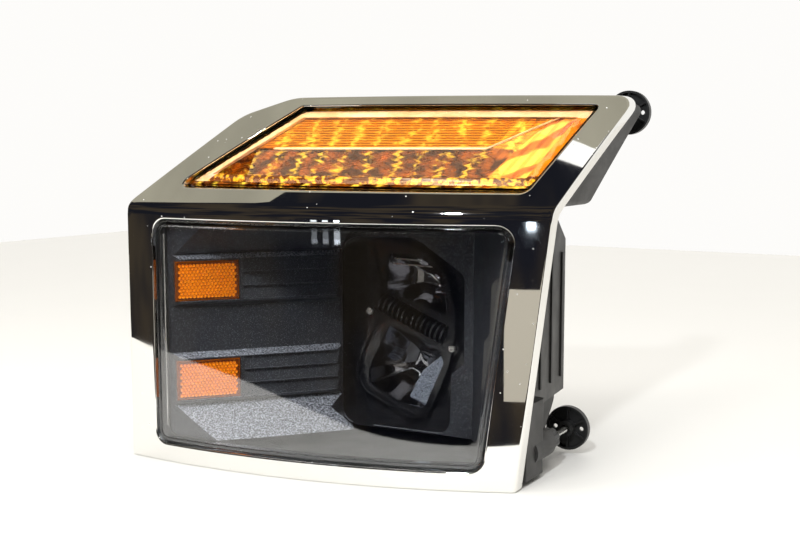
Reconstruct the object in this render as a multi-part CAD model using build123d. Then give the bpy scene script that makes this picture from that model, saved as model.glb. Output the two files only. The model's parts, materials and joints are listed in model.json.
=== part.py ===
"""Left-hand truck headlight assembly, in millimetres, +Z up, the lamp shining along -Y.

The origin is on the foot under the housing, at floor height. The front face is a vertical cylinder that
folds back at FOLD_Z into a cone, so its parts are turned about one vertical axis and trimmed by outlines
seen from the front. DEPTH always means a distance behind that outer skin.
"""

from build123d import *
import os
from math import cos, radians, sin, tan

os.makedirs("parts", exist_ok=True)

# Front face, as a section turned about a vertical axis behind the lamp
FACE_RADIUS = 760.0
FACE_X, FACE_Y = -132.0, 610.0
FACE_START, FACE_SWEEP = -9.0, 54.0
FOLD_Z = 254.0
FOLD_ANGLE = 45.0
FOLD_RADIUS = 18.0
FACE_TOP = 372.0
INSIDE_RADIUS = 400.0

# Outlines seen from the front: corners (x, z) and the radius at each
BEZEL_POINTS = [(-190, 0), (202, 0), (229, 256), (257, 361.5), (-62, 361.5), (-112, 344), (-190, 258)]
BEZEL_RADII = [3, 3, 60, 14, 60, 40, 18]
MAIN_POINTS = [(-156, 18), (174, 18), (200, 242), (-156, 242)]
MAIN_RADII = [14, 14, 15, 16]
TURN_POINTS = [(-142, 272.5), (201, 270.5), (229, 351), (-47, 352)]
TURN_RADII = [5, 9, 3, 6]
TUB_POINTS = [(-176, 5), (188, 5), (212, 250), (-176, 250)]
TURN_BOX_POINTS = [(-172, 257), (224, 257), (250, 356), (-58, 356), (-96, 345)]

# Stack of layers behind the skin
SKIN = 3.0
BEZEL_EDGE = 12.0
LIP_DEPTH, LIP_WALL = 6.5, 2.5
SKIRT_DEPTH = 8.0
LENS_FACE = 1.6
LENS_WALL = 3.0
LENS_GAP = 1.2
LENS_FLANGE = 5.0
FLANGE_DEPTH = 13.0
SEAL_DEPTH = 16.0
RIM_DEPTH = 18.0
RIM, RIM_OVERHANG, RIM_TOP = 3.0, 2.0, 250.5
HOUSING_WALL, SKIRT_WALL = 3.0, 2.5

# Main housing, seen from above and from the side
TUB_BACK = 105.0
TUB_PLAN = [
    (-176, -170), (196, -170), (196, -60), (178, TUB_BACK), (-62, TUB_BACK), (-62, 22), (-176, -118),
]
TUB_PLAN_RADII = [0, 0, 30, 8, 12, 25, 25]
TUB_SIDE = [(-170, 0), (62, 0), (TUB_BACK, 48), (TUB_BACK, 214), (52, 252), (-170, 252)]
TUB_SIDE_RADII = [0, 16, 14, 14, 16, 0]
TUB_TOP = 248.0
POST_R, POST_BORE_R = 6.0, 2.1

# Ribs down the right-hand wall, which leans in towards the back
RIB_PLACES = [-24.0, 12.0, 48.0, 84.0]
RIB_EDGE_X, RIB_EDGE_SLOPE = 198.0, 0.109
RIB_LOW, RIB_HIGH = 78.0, 206.0

# Inner trim: the side wall carries the reflex reflectors and runs back to the lamp bucket
WALL_ANGLE = 50.0
WALL_START = (-152.0, -136.0)
WALL_LENGTH = 183.0
BAR_PROUD = 10.0
BAR_HEIGHT = 44.0
LOWER_BAR_Z = 57.0
UPPER_BAR_Z = 157.0
REFLEX_START, REFLEX_LENGTH, REFLEX_HEIGHT, REFLEX_THICK = 9.0, 64.0, 40.0, 7.0
REFLEX_GAP = 0.4
LOUVRES, LOUVRE_DEPTH = 3, 4.0
TRIM_LOW, TRIM_HIGH = 18.5, 241.0
TRIM_WALL = 2.5
BUCKET_POINTS = [(-32, 22), (96, 24), (98, 86), (112, 98), (112, 186), (52, 224), (-32, 224)]
BUCKET_RADII = [16, 16, 5, 5, 12, 12, 26]
BUCKET_FRONT, BUCKET_BACK = 4.0, 30.0

# LED module
MODULE_Y = 20.0
FRAME_POINTS = [
    (-7, 213), (30, 217), (62, 204), (83, 183), (93, 150), (94, 120), (86, 88),
    (66, 42), (45, 30), (-13, 54), (-24, 70), (-20, 94), (-2, 128), (5, 168),
]
FRAME_RADII = [5, 14, 14, 14, 14, 10, 10, 8, 8, 8, 8, 10, 14, 20]
LOW_POINTS = [(12, 204), (54, 197), (76, 184), (86, 154), (81, 143), (10, 162.5)]
HIGH_POINTS = [(14, 127), (72, 109), (79, 92), (56, 42), (24, 46), (-11, 62), (-11, 78)]
LENS_CORNER = 4.0
MODULE_LUGS = [(-8.5, 140.0), (89.0, 108.0)]
MODULE_DEPTH = 36.0
SINK_CENTRE = (43.0, 135.5)
SINK_TILT = 21.5
SINK_LENGTH, SINK_HALF, SINK_SHELF, FIN_COUNT, FIN_THICK = 80.0, 10.0, 5.5, 14, 2.2
BOARD_LENGTH, BOARD_THICK, LED_COUNT, LED_PITCH, LED_SIZE = 40.0, 1.6, 5, 6.0, 3.2
BRACKET_Y, BRACKET_THICK, POST_Y = 61.4, 3.0, 74.2
MODULE_POSTS = [(-26.0, 200.0), (98.0, 190.0), (94.0, 66.0), (-26.0, 66.0)]

# Adjusters: a fluted nut turns in its boss and draws a ball stud in or out; the disc swivels on the ball
STUD_R, NUT_BORE_R = 3.0, 3.06
NUT_R, NUT_LENGTH, NUT_FLUTES = 11.0, 18.0, 8
SPIGOT_R, SPIGOT_BORE_R, SPIGOT_LENGTH = 7.0, 7.06, 9.0
TAIL_BORE_R, TRAVEL = 4.0, 6.0
BALL_R, SOCKET_R, SWING = 5.0, 5.06, 14.0
DISC_R, DISC_THICK, DISC_RIBS, HUB_R = 22.5, 2.4, 6, 8.0
DISC_HOLE_R, DISC_HOLE_SPACING = 2.2, 28.0
LOWER_POST = {"x": 193.0, "z": 27.0, "nut_y": 12.0, "ball_y": 75.0, "tail": 16.0}
UPPER_POST = {"x": 226.0, "z": 347.0, "nut_y": 116.0, "ball_y": 148.0, "tail": 12.0}
BOSS_R, BOSS_START = 13.0, 94.0
LOWER_BOSS_R, LOWER_BOSS_START = 13.5, -32.0
PIVOT_BOSS_R, PIVOT_BOSS_START = 12.0, -90.0
PIVOT_POST = {"x": -140.0, "z": 62.0, "nut_y": -30.0, "ball_y": 24.0, "tail": 20.0}

# Corner of the main housing left free for the lower adjuster
NOTCH_X, NOTCH_Y, NOTCH_Z = 166.0, 2.0, 62.0

# Rear service cover, connector and vents
COVER_BOX = (30.0, 165.0, 96.0, 194.0)
COVER_DEPTH, COVER_WALL, COVER_RADIUS = 31.0, 2.5, 16.0
COVER_FLANGE, COVER_LIFT = 4.0, 2.2
COVER_SCREW_R, COVER_SCREW_HOLE = 2.4, 2.5
PLUG_X, PLUG_Z, PLUG_WIDTH, PLUG_HEIGHT, PLUG_LENGTH = -24.0, 108.0, 34.0, 20.0, 24.0
PIN_SIZE, PIN_PITCH = 1.6, 7.0
VENTS = [(-34.0, 186.0), (-8.0, 186.0)]
VENT_R, COLLAR_R, CAP_R = 3.5, 6.5, 9.0
DRIVER_BOX = (6.0, 74.0, 80.0, 101.8, 56.0, 84.0)

# Turn signal
TURN_OPTIC, TURN_TRAY, TURN_BOARD = 9.0, 30.0, 32.3
TURN_LED_Z, TURN_LED_ANGLES = 308.0, [7.5 + 2.3 * i for i in range(10)]
TURN_BOX_LOW, TURN_BOX_HIGH = 257.0, 356.0
TURN_FLOOR, TURN_ROOF = 64.0, 24.0

# Saddles that carry the turn-signal housing on the main housing's roof: angles round the face's axis
SADDLES = [7.0, 19.0]
SADDLE_RADIUS = FACE_RADIUS - 52.0
SADDLE_Z, SADDLE_HEIGHT = 254.1, 7.8
SADDLE_BORE_R, SADDLE_HOLE_R = 2.05, 2.2

# Pegs that carry the bezel on the two housings: (x, z)
PEG_R = 2.5
PEGS = [(-170.5, 60.0), (-170.5, 200.0), (189.5, 60.0), (202.5, 200.0), (225.0, 300.0), (-135.5, 290.0)]

# Feet under the housing floor
FOOT_X0, FOOT_X1, FOOT_HEIGHT = -40.0, 140.0, 5.2
FOOT_STRIPS = [(-15.0, 15.0), (42.0, 56.0)]


def shape(points, radii):
    """A closed outline with rounded corners, drawn in its own plane."""
    return make_face(FilletPolyline(*points, radius=radii, close=True))


def front_prism(sketch, y0=-200.0, y1=260.0):
    """A front-view outline (x, z) carried straight back from y0 to y1."""
    return extrude(Plane.XZ.offset(-y0) * sketch, amount=y0 - y1)


def plan_prism(sketch, z0, z1):
    """A plan outline (x, y) carried up from z0 to z1."""
    return extrude(Plane.XY.offset(z0) * sketch, amount=z1 - z0)


def side_prism(sketch, x0=-220.0, x1=280.0):
    """A side-view outline (y, z) carried across from x0 to x1."""
    return extrude(Plane.YZ.offset(x0) * sketch, amount=x1 - x0)


def turned(section):
    """A section (radius, z) swept about the face's vertical axis."""
    start = radians(FACE_START)
    plane = Plane(
        origin=(FACE_X, FACE_Y, 0),
        x_dir=(sin(start), -cos(start), 0),
        z_dir=(-cos(start), -sin(start), 0),
    )
    return revolve(plane * section, axis=Axis((FACE_X, FACE_Y, 0), (0, 0, 1)), revolution_arc=FACE_SWEEP)


def fold_line(depth, low, high):
    """The face's section at a depth behind the skin: lower face, fold and upper face."""
    radius = FACE_RADIUS - depth
    corner_z = FOLD_Z - depth * tan(radians(FOLD_ANGLE / 2))
    top_radius = radius - (high - corner_z) * tan(radians(FOLD_ANGLE))
    return [(radius, low), (radius, corner_z), (top_radius, high)]


def band(depth0, depth1, low=-5.0, high=FACE_TOP):
    """The layer of the face between two depths, over its full height."""
    front, back = fold_line(depth0, low, high), fold_line(depth1, low, high)
    bend0, bend1 = max(FOLD_RADIUS - depth0, 1.0), max(FOLD_RADIUS - depth1, 1.0)
    return turned(shape(front + back[::-1], [0, bend0, 0, 0, bend1, 0]))


def cone_radius(depth, z):
    """Radius of the upper face's layer at a height."""
    base = fold_line(depth, 0, z)
    return base[2][0]


def on_face(angle, radius, z=0.0):
    """A point at an angle round the face's axis; 0 looks along -Y and positive goes to +X."""
    return (FACE_X + radius * sin(radians(angle)), FACE_Y - radius * cos(radians(angle)), z)


def ring(sketch, outward, inward):
    """The strip between an outline grown by outward and shrunk by inward."""
    outer = offset(sketch, amount=outward) if outward else sketch
    inner = offset(sketch, amount=-inward) if inward else sketch
    return outer - inner


def rod(x, z, radius, y0, y1):
    """A round bar along Y."""
    return Pos(x, (y0 + y1) / 2, z) * Rot(90, 0, 0) * Cylinder(radius, y1 - y0)


def block(x0, x1, y0, y1, z0, z1):
    """A box by its limits."""
    return Pos((x0 + x1) / 2, (y0 + y1) / 2, (z0 + z1) / 2) * Box(x1 - x0, y1 - y0, z1 - z0)


BEZEL = shape(BEZEL_POINTS, BEZEL_RADII)
MAIN_OPENING = shape(MAIN_POINTS, MAIN_RADII)
TURN_OPENING = shape(TURN_POINTS, TURN_RADII)
MAIN_LENS = offset(MAIN_OPENING, amount=-LENS_GAP)
TURN_LENS = offset(TURN_OPENING, amount=-LENS_GAP)
TUB_FRONT = shape(TUB_POINTS, [14] * 4)
TURN_BOX = shape(TURN_BOX_POINTS, [4, 6, 10, 30, 30])


# ---- front: bezel, lenses, seals ----

def outer_bezel():
    """Chromed frame: a thin skin with a turned-back edge and a lip round each opening."""
    openings = MAIN_OPENING + TURN_OPENING
    skin = band(0, SKIN) & front_prism(BEZEL - openings)
    edge = band(0, BEZEL_EDGE) & front_prism(ring(BEZEL, 0, SKIN))
    rings = ring(MAIN_OPENING, LIP_WALL, 0) + ring(TURN_OPENING, LIP_WALL, 0)
    lips = band(0, LIP_DEPTH) & front_prism(rings)
    peg_outlines = Sketch() + [Pos(x, z) * Circle(PEG_R) for x, z in PEGS]
    pegs = band(SKIN - 1, RIM_DEPTH - 0.1) & front_prism(peg_outlines)
    return skin + edge + lips + pegs


def tray(lens, face, flange_outward):
    """A lens: its face, the wall behind the edge, and the flange that is glued to the housing."""
    wall = band(LENS_FACE, SEAL_DEPTH) & front_prism(ring(lens, 0, LENS_WALL))
    flange = band(FLANGE_DEPTH, SEAL_DEPTH) & front_prism(ring(lens, flange_outward, LENS_WALL))
    return face + wall + flange


def main_lens():
    face = band(LENS_FACE, LENS_FACE + LENS_WALL) & front_prism(MAIN_LENS)
    return tray(MAIN_LENS, face, LENS_FLANGE)


def turn_lens():
    face = band(LENS_FACE, LENS_FACE + LENS_WALL) & front_prism(TURN_LENS)
    return tray(TURN_LENS, face, LENS_FLANGE)


def lens_seal(lens):
    return band(SEAL_DEPTH, RIM_DEPTH) & front_prism(ring(lens, LENS_FLANGE, LENS_WALL))


# ---- housings ----

def tub(inset):
    """The main housing's body: its plan, front and side outlines intersected, shrunk by inset."""
    plan, front, side = shape(TUB_PLAN, TUB_PLAN_RADII), TUB_FRONT, shape(TUB_SIDE, TUB_SIDE_RADII)
    if inset:
        plan, front, side = (offset(outline, amount=-inset) for outline in (plan, front, side))
    notch = block(NOTCH_X - inset, 280, NOTCH_Y - inset, 200, -10, NOTCH_Z + inset)
    return (plan_prism(plan, 0, 260) & front_prism(front, -180, 200) & side_prism(side)) - notch


def behind(depth):
    """Everything behind the face at a depth."""
    front = fold_line(depth, -5.0, FACE_TOP)
    bend = max(FOLD_RADIUS - depth, 1.0)
    return turned(shape([*front, (INSIDE_RADIUS, FACE_TOP), (INSIDE_RADIUS, -5.0)], [0, bend, 0, 0, 0]))


def post_bores(post):
    """Bore for the nut's spigot, and behind it the room for the stud's tail."""
    x, z, end = post["x"], post["z"], post["nut_y"]
    tail_end = end - post["tail"] - TRAVEL - 2.0
    spigot_bore = rod(x, z, SPIGOT_BORE_R, end - SPIGOT_LENGTH - 0.3, end + 2)
    return spigot_bore + rod(x, z, TAIL_BORE_R, tail_end, end)


def cover_sketch(grow):
    x0, x1, z0, z1 = COVER_BOX
    middle = Pos((x0 + x1) / 2, (z0 + z1) / 2)
    return middle * RectangleRounded(x1 - x0 + 2 * grow, z1 - z0 + 2 * grow, COVER_RADIUS + grow)


def cover_screw_spots():
    x0, x1, z0, z1 = COVER_BOX
    return [(x, z) for x in (x0 + 26, x1 - 26) for z in (z0 - 5, z1 + 5)]


def main_housing():
    shell = tub(0) - tub(HOUSING_WALL)
    rim_outline = offset(TUB_FRONT, amount=RIM_OVERHANG) - offset(MAIN_LENS, amount=-LENS_WALL)
    body = shell + (band(RIM_DEPTH - 1, RIM_DEPTH + RIM, -5, RIM_TOP) & front_prism(rim_outline))
    inside = tub(HOUSING_WALL)
    # wing and boss of the lower adjuster
    x, z, end = LOWER_POST["x"], LOWER_POST["z"], LOWER_POST["nut_y"] - 0.3
    wing = plan_prism(shape([(150, -70), (203, -58), (204, -10), (150, 2)], [0, 6, 8, 0]), 5, 76)
    body += wing - inside
    body += rod(x, z, LOWER_BOSS_R, LOWER_BOSS_START, end)
    body -= post_bores(LOWER_POST)
    # boss of the fixed pivot on the slanting wall
    px, pz, pivot_end = PIVOT_POST["x"], PIVOT_POST["z"], PIVOT_POST["nut_y"]
    web_plan = shape([(-160, -106), (-112, -46), (-124, -34), (-156, -34)], [0, 0, 6, 6])
    web = plan_prism(web_plan, pz - 4, pz + 4)
    body += web - inside
    body += rod(px, pz, PIVOT_BOSS_R, PIVOT_BOSS_START, pivot_end) - inside
    body -= rod(px, pz, STUD_R + 0.05, pivot_end - PIVOT_POST["tail"] - 0.3, 0)
    body = body + rear_wall_details() - rear_wall_holes()
    # stand-offs for the LED module, feet under the floor, ribs down the right-hand wall
    for x, z in MODULE_POSTS:
        body += rod(x, z, POST_R, POST_Y, TUB_BACK - 1)
        body -= rod(x, z, POST_BORE_R, POST_Y - 4, TUB_BACK - 6)
    for y0, y1 in FOOT_STRIPS:
        body += block(FOOT_X0, FOOT_X1, y0, y1, 0, FOOT_HEIGHT)
    for y in RIB_PLACES:
        right = RIB_EDGE_X - (y + 60) * RIB_EDGE_SLOPE
        body += block(right - 10, right, y - 1.5, y + 1.5, RIB_LOW, RIB_HIGH) - inside
    for angle in SADDLES:
        body -= Pos(on_face(angle, SADDLE_RADIUS, TUB_TOP)) * Cylinder(SADDLE_HOLE_R, 12)
    skirt_outline = ring(offset(TUB_FRONT, amount=RIM_OVERHANG), 0, SKIRT_WALL)
    skirt = band(SKIRT_DEPTH, RIM_DEPTH + 1) & front_prism(skirt_outline)
    return (body & behind(RIM_DEPTH)) + skirt


def rear_wall_details():
    """Bosses and collars on the rear wall."""
    collars = [rod(x, z, COLLAR_R, TUB_BACK - 1, TUB_BACK + 9) for x, z in VENTS]
    bosses = [rod(x, z, POST_R, TUB_BACK - 10, TUB_BACK - 2) for x, z in cover_screw_spots()]
    return Part() + collars + bosses


def rear_wall_holes():
    """Openings in the rear wall: service cover, connector, vents and cover screws."""
    y0, y1 = TUB_BACK - 6, TUB_BACK + 10
    plug = Pos(PLUG_X, PLUG_Z) * Rectangle(PLUG_WIDTH - 8, PLUG_HEIGHT - 8)
    vents = [rod(x, z, VENT_R, y0, y1) for x, z in VENTS]
    screws = [rod(x, z, COVER_SCREW_HOLE, TUB_BACK - 8, y1) for x, z in cover_screw_spots()]
    return front_prism(cover_sketch(-6.0), y0, y1) + front_prism(plug, y0, y1) + vents + screws


def turn_section(inset):
    """Section of the turn-signal box: level floor and roof, its front just ahead of the rim."""
    low, high = TURN_BOX_LOW + inset, TURN_BOX_HIGH - inset
    front_low, front_high = cone_radius(RIM_DEPTH - 2, low), cone_radius(RIM_DEPTH - 2, high)
    slant = inset * 1.3
    back_high, back_low = front_high - TURN_ROOF + slant, front_low - TURN_FLOOR + slant
    return shape([(front_low, low), (front_high, high), (back_high, high), (back_low, low)], [0, 0, 4, 6])


def turn_housing():
    box = turned(turn_section(0)) & front_prism(TURN_BOX)
    hollow = turned(turn_section(HOUSING_WALL)) & front_prism(offset(TURN_BOX, amount=-HOUSING_WALL))
    rim_outline = TURN_BOX - offset(TURN_LENS, amount=-LENS_WALL)
    rim = band(RIM_DEPTH - 1, RIM_DEPTH + RIM, 200) & front_prism(rim_outline)
    body = box - hollow + rim
    # ledge at the right-hand end and the boss of the upper adjuster
    x, z, end = UPPER_POST["x"], UPPER_POST["z"], UPPER_POST["nut_y"] - 0.3
    ledge = plan_prism(shape([(196, 60), (238, 74), (240, 108), (212, 112)], [8, 6, 6, 8]), z - 13, z + 8)
    body += ledge - hollow
    body -= rod(x, z, NUT_R + 1.5, end, 140)
    body += rod(x, z, BOSS_R, BOSS_START, end)
    body -= post_bores(UPPER_POST)
    for angle in SADDLES:
        spot = Pos(on_face(angle, SADDLE_RADIUS, SADDLE_Z))
        saddle = spot * Rot(0, 0, angle) * Box(40, 44, SADDLE_HEIGHT)
        body += saddle - spot * Cylinder(SADDLE_BORE_R, SADDLE_HEIGHT)
    skirt_outline = ring(TURN_BOX, 0, SKIRT_WALL) - offset(TURN_LENS, amount=LENS_FLANGE + 0.3)
    skirt = band(SKIRT_DEPTH, RIM_DEPTH + 1, 200) & front_prism(skirt_outline)
    return (body & behind(RIM_DEPTH)) + skirt


def saddle_screws():
    """Screws driven up through the main housing's roof into the turn-signal housing's saddles."""
    roof = TUB_POINTS[2][1] - HOUSING_WALL - 0.1
    upturned = Rot(180, 0, 0) * screw(2.0, 10.0, 4.0, 3.0)
    return [Pos(on_face(angle, SADDLE_RADIUS, roof)) * upturned for angle in SADDLES]


def screw(shaft_radius, length, head_radius, head_height):
    """A screw with a domed head above z = 0, a hexagonal recess and its shaft below."""
    head = Pos(0, 0, head_height / 2) * Cylinder(head_radius, head_height)
    head = fillet(head.edges().group_by(Axis.Z)[-1], head_height * 0.4)
    hexagon = Pos(0, 0, head_height * 0.4) * RegularPolygon(head_radius * 0.5, 6)
    recess = extrude(hexagon, amount=head_height)
    tip = Pos(0, 0, -length / 2) * Cylinder(shaft_radius, length)
    tip = chamfer(tip.edges().group_by(Axis.Z)[0], shaft_radius * 0.4)
    return (head - recess) + tip


# ---- inner trim, reflectors and bucket ----

def wall_plane():
    """Frame of the trim's side wall: local x points out of the back of the wall, local y is up."""
    angle = radians(WALL_ANGLE)
    outward, along = (-sin(angle), cos(angle), 0), (cos(angle), sin(angle), 0)
    return Plane(origin=(*WALL_START, 0), x_dir=outward, z_dir=along)


def wall_solid(profile, start, end):
    """A profile of (distance proud of the wall, z) run along the wall from start to end."""
    flipped = [(-n, z) for n, z in profile]
    section = make_face(Polyline(*flipped, close=True))
    return extrude(wall_plane().offset(start) * section, amount=end - start)


def bar_profile(low):
    """One raised bar of the wall, with a bevel above and below."""
    high = low + BAR_HEIGHT
    return [(-2, low - 6), (BAR_PROUD, low), (BAR_PROUD, high), (-2, high + 6)]


def louvre_cuts(low):
    """Saw-tooth steps cut across a bar: each slat leans back towards its top."""
    step = (BAR_HEIGHT - 2.0) / LOUVRES
    cuts = []
    for i in range(LOUVRES):
        z = low + 1.0 + i * step
        ahead, foot, back = BAR_PROUD + 1, BAR_PROUD - 0.6, BAR_PROUD - LOUVRE_DEPTH
        cuts.append([(ahead, z + 1.2), (foot, z + 1.2), (back, z + step), (ahead, z + step)])
    return cuts


def reflex_pocket(low):
    """Section of the pocket that a reflex reflector sits in, with a gap all round."""
    z0 = low + (BAR_HEIGHT - REFLEX_HEIGHT) / 2 - REFLEX_GAP
    z1 = z0 + REFLEX_HEIGHT + 2 * REFLEX_GAP
    floor, ahead = BAR_PROUD - REFLEX_THICK, BAR_PROUD + 3
    return [(floor, z0), (ahead, z0), (ahead, z1), (floor, z1)]


def trim_box():
    """The trim's floor, ceiling, bucket wall and right-hand wall."""
    left, corner, right = -34, 124, 205
    plan = make_face(Polyline(
        (-176, -170), (right, -170), (right, -75), (corner, BUCKET_FRONT), (left, BUCKET_FRONT), close=True
    ))
    box = plan_prism(plan, TRIM_LOW, TRIM_LOW + TRIM_WALL)
    box += plan_prism(plan, TRIM_HIGH - TRIM_WALL, TRIM_HIGH)
    panel = shape([(left, TRIM_LOW), (corner, TRIM_LOW), (corner, TRIM_HIGH), (left, TRIM_HIGH)], [0] * 4)
    box += front_prism(panel, BUCKET_FRONT - TRIM_WALL, BUCKET_FRONT)
    back = BUCKET_FRONT - TRIM_WALL
    slant = make_face(Polyline(
        (corner, BUCKET_FRONT), (right, -75), (right, -79), (corner - 2, back), close=True
    ))
    return box + plan_prism(slant, TRIM_LOW, TRIM_HIGH)


def trim_wall():
    """The side wall: raised bars with louvres and reflector pockets, between two sloping ledges."""
    back, ahead, bars_top = -TRIM_WALL, -20, UPPER_BAR_Z + BAR_HEIGHT
    flat = [(back, TRIM_LOW), (0, TRIM_LOW), (0, TRIM_HIGH), (back, TRIM_HIGH)]
    lower_slope = [
        (back, TRIM_LOW), (44, TRIM_LOW), (44, TRIM_LOW + 2.5),
        (6, LOWER_BAR_Z - 6), (back, LOWER_BAR_Z - 2),
    ]
    upper_slope = [
        (back, bars_top + 2), (6, bars_top + 6), (34, TRIM_HIGH - 2.5), (34, TRIM_HIGH), (back, TRIM_HIGH),
    ]
    wall = Part() + [wall_solid(part, ahead, WALL_LENGTH) for part in (flat, lower_slope, upper_slope)]
    for low in (LOWER_BAR_Z, UPPER_BAR_Z):
        wall += wall_solid(bar_profile(low), ahead, WALL_LENGTH - 2)
        for cut in louvre_cuts(low):
            wall -= wall_solid(cut, REFLEX_START + REFLEX_LENGTH + 4, WALL_LENGTH + 5)
        pocket_end = REFLEX_START + REFLEX_LENGTH + REFLEX_GAP
        wall -= wall_solid(reflex_pocket(low), REFLEX_START - REFLEX_GAP, pocket_end)
    return wall


def trim_panel():
    lens_space = front_prism(offset(MAIN_LENS, amount=-LENS_WALL - 0.4), -190, 60)
    room = behind(RIM_DEPTH + 0.4) & lens_space & block(-200, 240, -180, BUCKET_FRONT, 0, 260)
    shell = (trim_wall() + trim_box()) & room
    return shell - front_prism(shape(BUCKET_POINTS, BUCKET_RADII), -20, 20)


def reflex(low):
    """An amber reflex reflector in its bar's pocket, with bevelled edges."""
    z = low + (BAR_HEIGHT - REFLEX_HEIGHT) / 2
    base = BAR_PROUD - REFLEX_THICK
    top, shoulder, crown = z + REFLEX_HEIGHT, BAR_PROUD - 0.6, BAR_PROUD + 0.8
    bevel = 1.6
    front = [(shoulder, z), (crown, z + bevel), (crown, top - bevel), (shoulder, top)]
    profile = [(base + 0.1, z), *front, (base + 0.1, top)]
    return wall_solid(profile, REFLEX_START, REFLEX_START + REFLEX_LENGTH)


def sink_gap():
    """Slot that the heat sink passes through."""
    return Pos(*SINK_CENTRE) * Rot(0, 0, -SINK_TILT) * Rectangle(SINK_LENGTH + 0.8, 2 * SINK_HALF + 0.8)


def lamp_bucket():
    """Gloss-black well round the LED module."""
    opening = shape(BUCKET_POINTS, BUCKET_RADII)
    wall = front_prism(ring(opening, 2.4, 0), BUCKET_FRONT + 0.2, BUCKET_BACK)
    hole = offset(shape(FRAME_POINTS, FRAME_RADII), amount=-3.0) + sink_gap()
    back = front_prism(offset(opening, amount=2.4) - hole, BUCKET_BACK - 2.5, BUCKET_BACK)
    seats = [rod(x, z, 7.5, MODULE_Y + 5.2, BUCKET_BACK - 1) for x, z in MODULE_LUGS]
    bores = [rod(x, z, 1.8, MODULE_Y, BUCKET_BACK + 1) for x, z in MODULE_LUGS]
    return (wall + back + seats) - bores


# ---- LED module ----

def module_frame():
    outline = shape(FRAME_POINTS, FRAME_RADII)
    lugs = [Pos(x, z) * Circle(7.5) for x, z in MODULE_LUGS]
    lugs.append(Pos(MODULE_LUGS[0][0] + 6, MODULE_LUGS[0][1]) * Rectangle(12, 12))
    windows = Sketch() + [shape(points, [LENS_CORNER] * len(points)) for points in (LOW_POINTS, HIGH_POINTS)]
    plate = front_prism(outline + lugs - windows - sink_gap(), MODULE_Y + 1, MODULE_Y + 5)
    bead = front_prism(ring(outline, 0, 2.2), MODULE_Y - 3, MODULE_Y + 5)
    holes = [rod(x, z, 1.8, MODULE_Y - 5, MODULE_Y + 9) for x, z in MODULE_LUGS]
    screw_room = [rod(x, z, 4.2, MODULE_Y - 5, MODULE_Y + 1) for x, z in MODULE_LUGS]
    gap = front_prism(sink_gap(), MODULE_Y - 5, MODULE_Y + 1.5)
    return (plate + bead) - holes - screw_room - gap


def bowl(points, centre, radius, side):
    """A reflector hollowed by a sphere, with a window beside the heat sink for its LEDs."""
    outline = shape(points, [LENS_CORNER] * len(points))
    y0 = MODULE_Y + 5.2
    body = front_prism(offset(outline, amount=1.6), y0, y0 + MODULE_DEPTH)
    x, z = centre
    ball = Pos(x, y0 + MODULE_DEPTH - 2.0 - radius, z) * Sphere(radius)
    hollow = front_prism(outline, y0 - 5, y0 + MODULE_DEPTH + 5) & ball
    window = block(-17, 17, MODULE_Y + 18, MODULE_Y + 30, side * SINK_HALF - 4, side * SINK_HALF + 4)
    return body - hollow - sink_place(window)


def low_beam_reflector():
    return bowl(LOW_POINTS, (48, 160), 60.0, 1)


def high_beam_reflector():
    return bowl(HIGH_POINTS, (40, 100), 72.0, -1)


def sink_place(part):
    return Pos(SINK_CENTRE[0], 0, SINK_CENTRE[1]) * Rot(0, SINK_TILT, 0) * part


def sink_section(half, nose):
    """D-shaped section (y, z) of the heat sink bar; its round nose points forward."""
    front, back = MODULE_Y - nose, MODULE_Y + 5.2 + MODULE_DEPTH
    nose_radius = half - 0.5
    corners = [(front, -half), (back, -half), (back, half), (front, half)]
    return shape(corners, [nose_radius, 0, 0, nose_radius])


def heat_sink():
    """Finned bar between the two reflectors, stepped down behind the fins to seat the LED boards."""
    core = extrude(Plane.YZ.offset(-SINK_LENGTH / 2) * sink_section(SINK_SHELF, -4.0), amount=SINK_LENGTH)
    pitch = (SINK_LENGTH - FIN_THICK) / (FIN_COUNT - 1)
    starts = [-SINK_LENGTH / 2 + i * pitch for i in range(FIN_COUNT)]
    fins = [extrude(Plane.YZ.offset(x) * sink_section(SINK_HALF, 7.0), amount=FIN_THICK) for x in starts]
    body = core + fins
    for side in (-1, 1):
        limits = sorted((side * SINK_SHELF, side * (SINK_HALF + 5)))
        body -= block(-SINK_LENGTH, SINK_LENGTH, MODULE_Y + 12, MODULE_Y + 60, *limits)
    return sink_place(body)


def led_board(side):
    """Circuit board on one face of the heat sink's shelf: side is +1 above, -1 below."""
    limits = sorted((side * (SINK_SHELF + 0.05), side * (SINK_SHELF + BOARD_THICK)))
    return sink_place(block(-BOARD_LENGTH / 2, BOARD_LENGTH / 2, MODULE_Y + 14, MODULE_Y + 38, *limits))


def board_leds(side):
    """Row of LEDs on a board."""
    base = SINK_SHELF + BOARD_THICK + 0.02
    limits = sorted((side * base, side * (base + 1.2)))
    half = LED_SIZE / 2
    centres = [(i - (LED_COUNT - 1) / 2) * LED_PITCH for i in range(LED_COUNT)]
    y = MODULE_Y + 24
    return [sink_place(block(x - half, x + half, y - half, y + half, *limits)) for x in centres]


def module_screws():
    head_y = MODULE_Y + 0.95
    return [Pos(x, head_y, z) * Rot(90, 0, 0) * screw(1.7, 8.5, 4.0, 2.6) for x, z in MODULE_LUGS]


def module_bracket():
    """Plate behind the reflectors that hangs the module on the housing's stand-offs."""
    plate = RectangleRounded(144, 160, 12)
    slots = [Pos(x, z) * RectangleRounded(36, 44, 6) for x in (-36, 36) for z in (-42, 42)]
    outline = Pos(36, 132) * (plate - slots)
    body = front_prism(outline, BRACKET_Y, BRACKET_Y + BRACKET_THICK)
    body += [rod(x, z, POST_R, BRACKET_Y, POST_Y - 0.2) for x, z in MODULE_POSTS]
    return body - [rod(x, z, POST_BORE_R, BRACKET_Y - 2, POST_Y + 2) for x, z in MODULE_POSTS]


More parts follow.
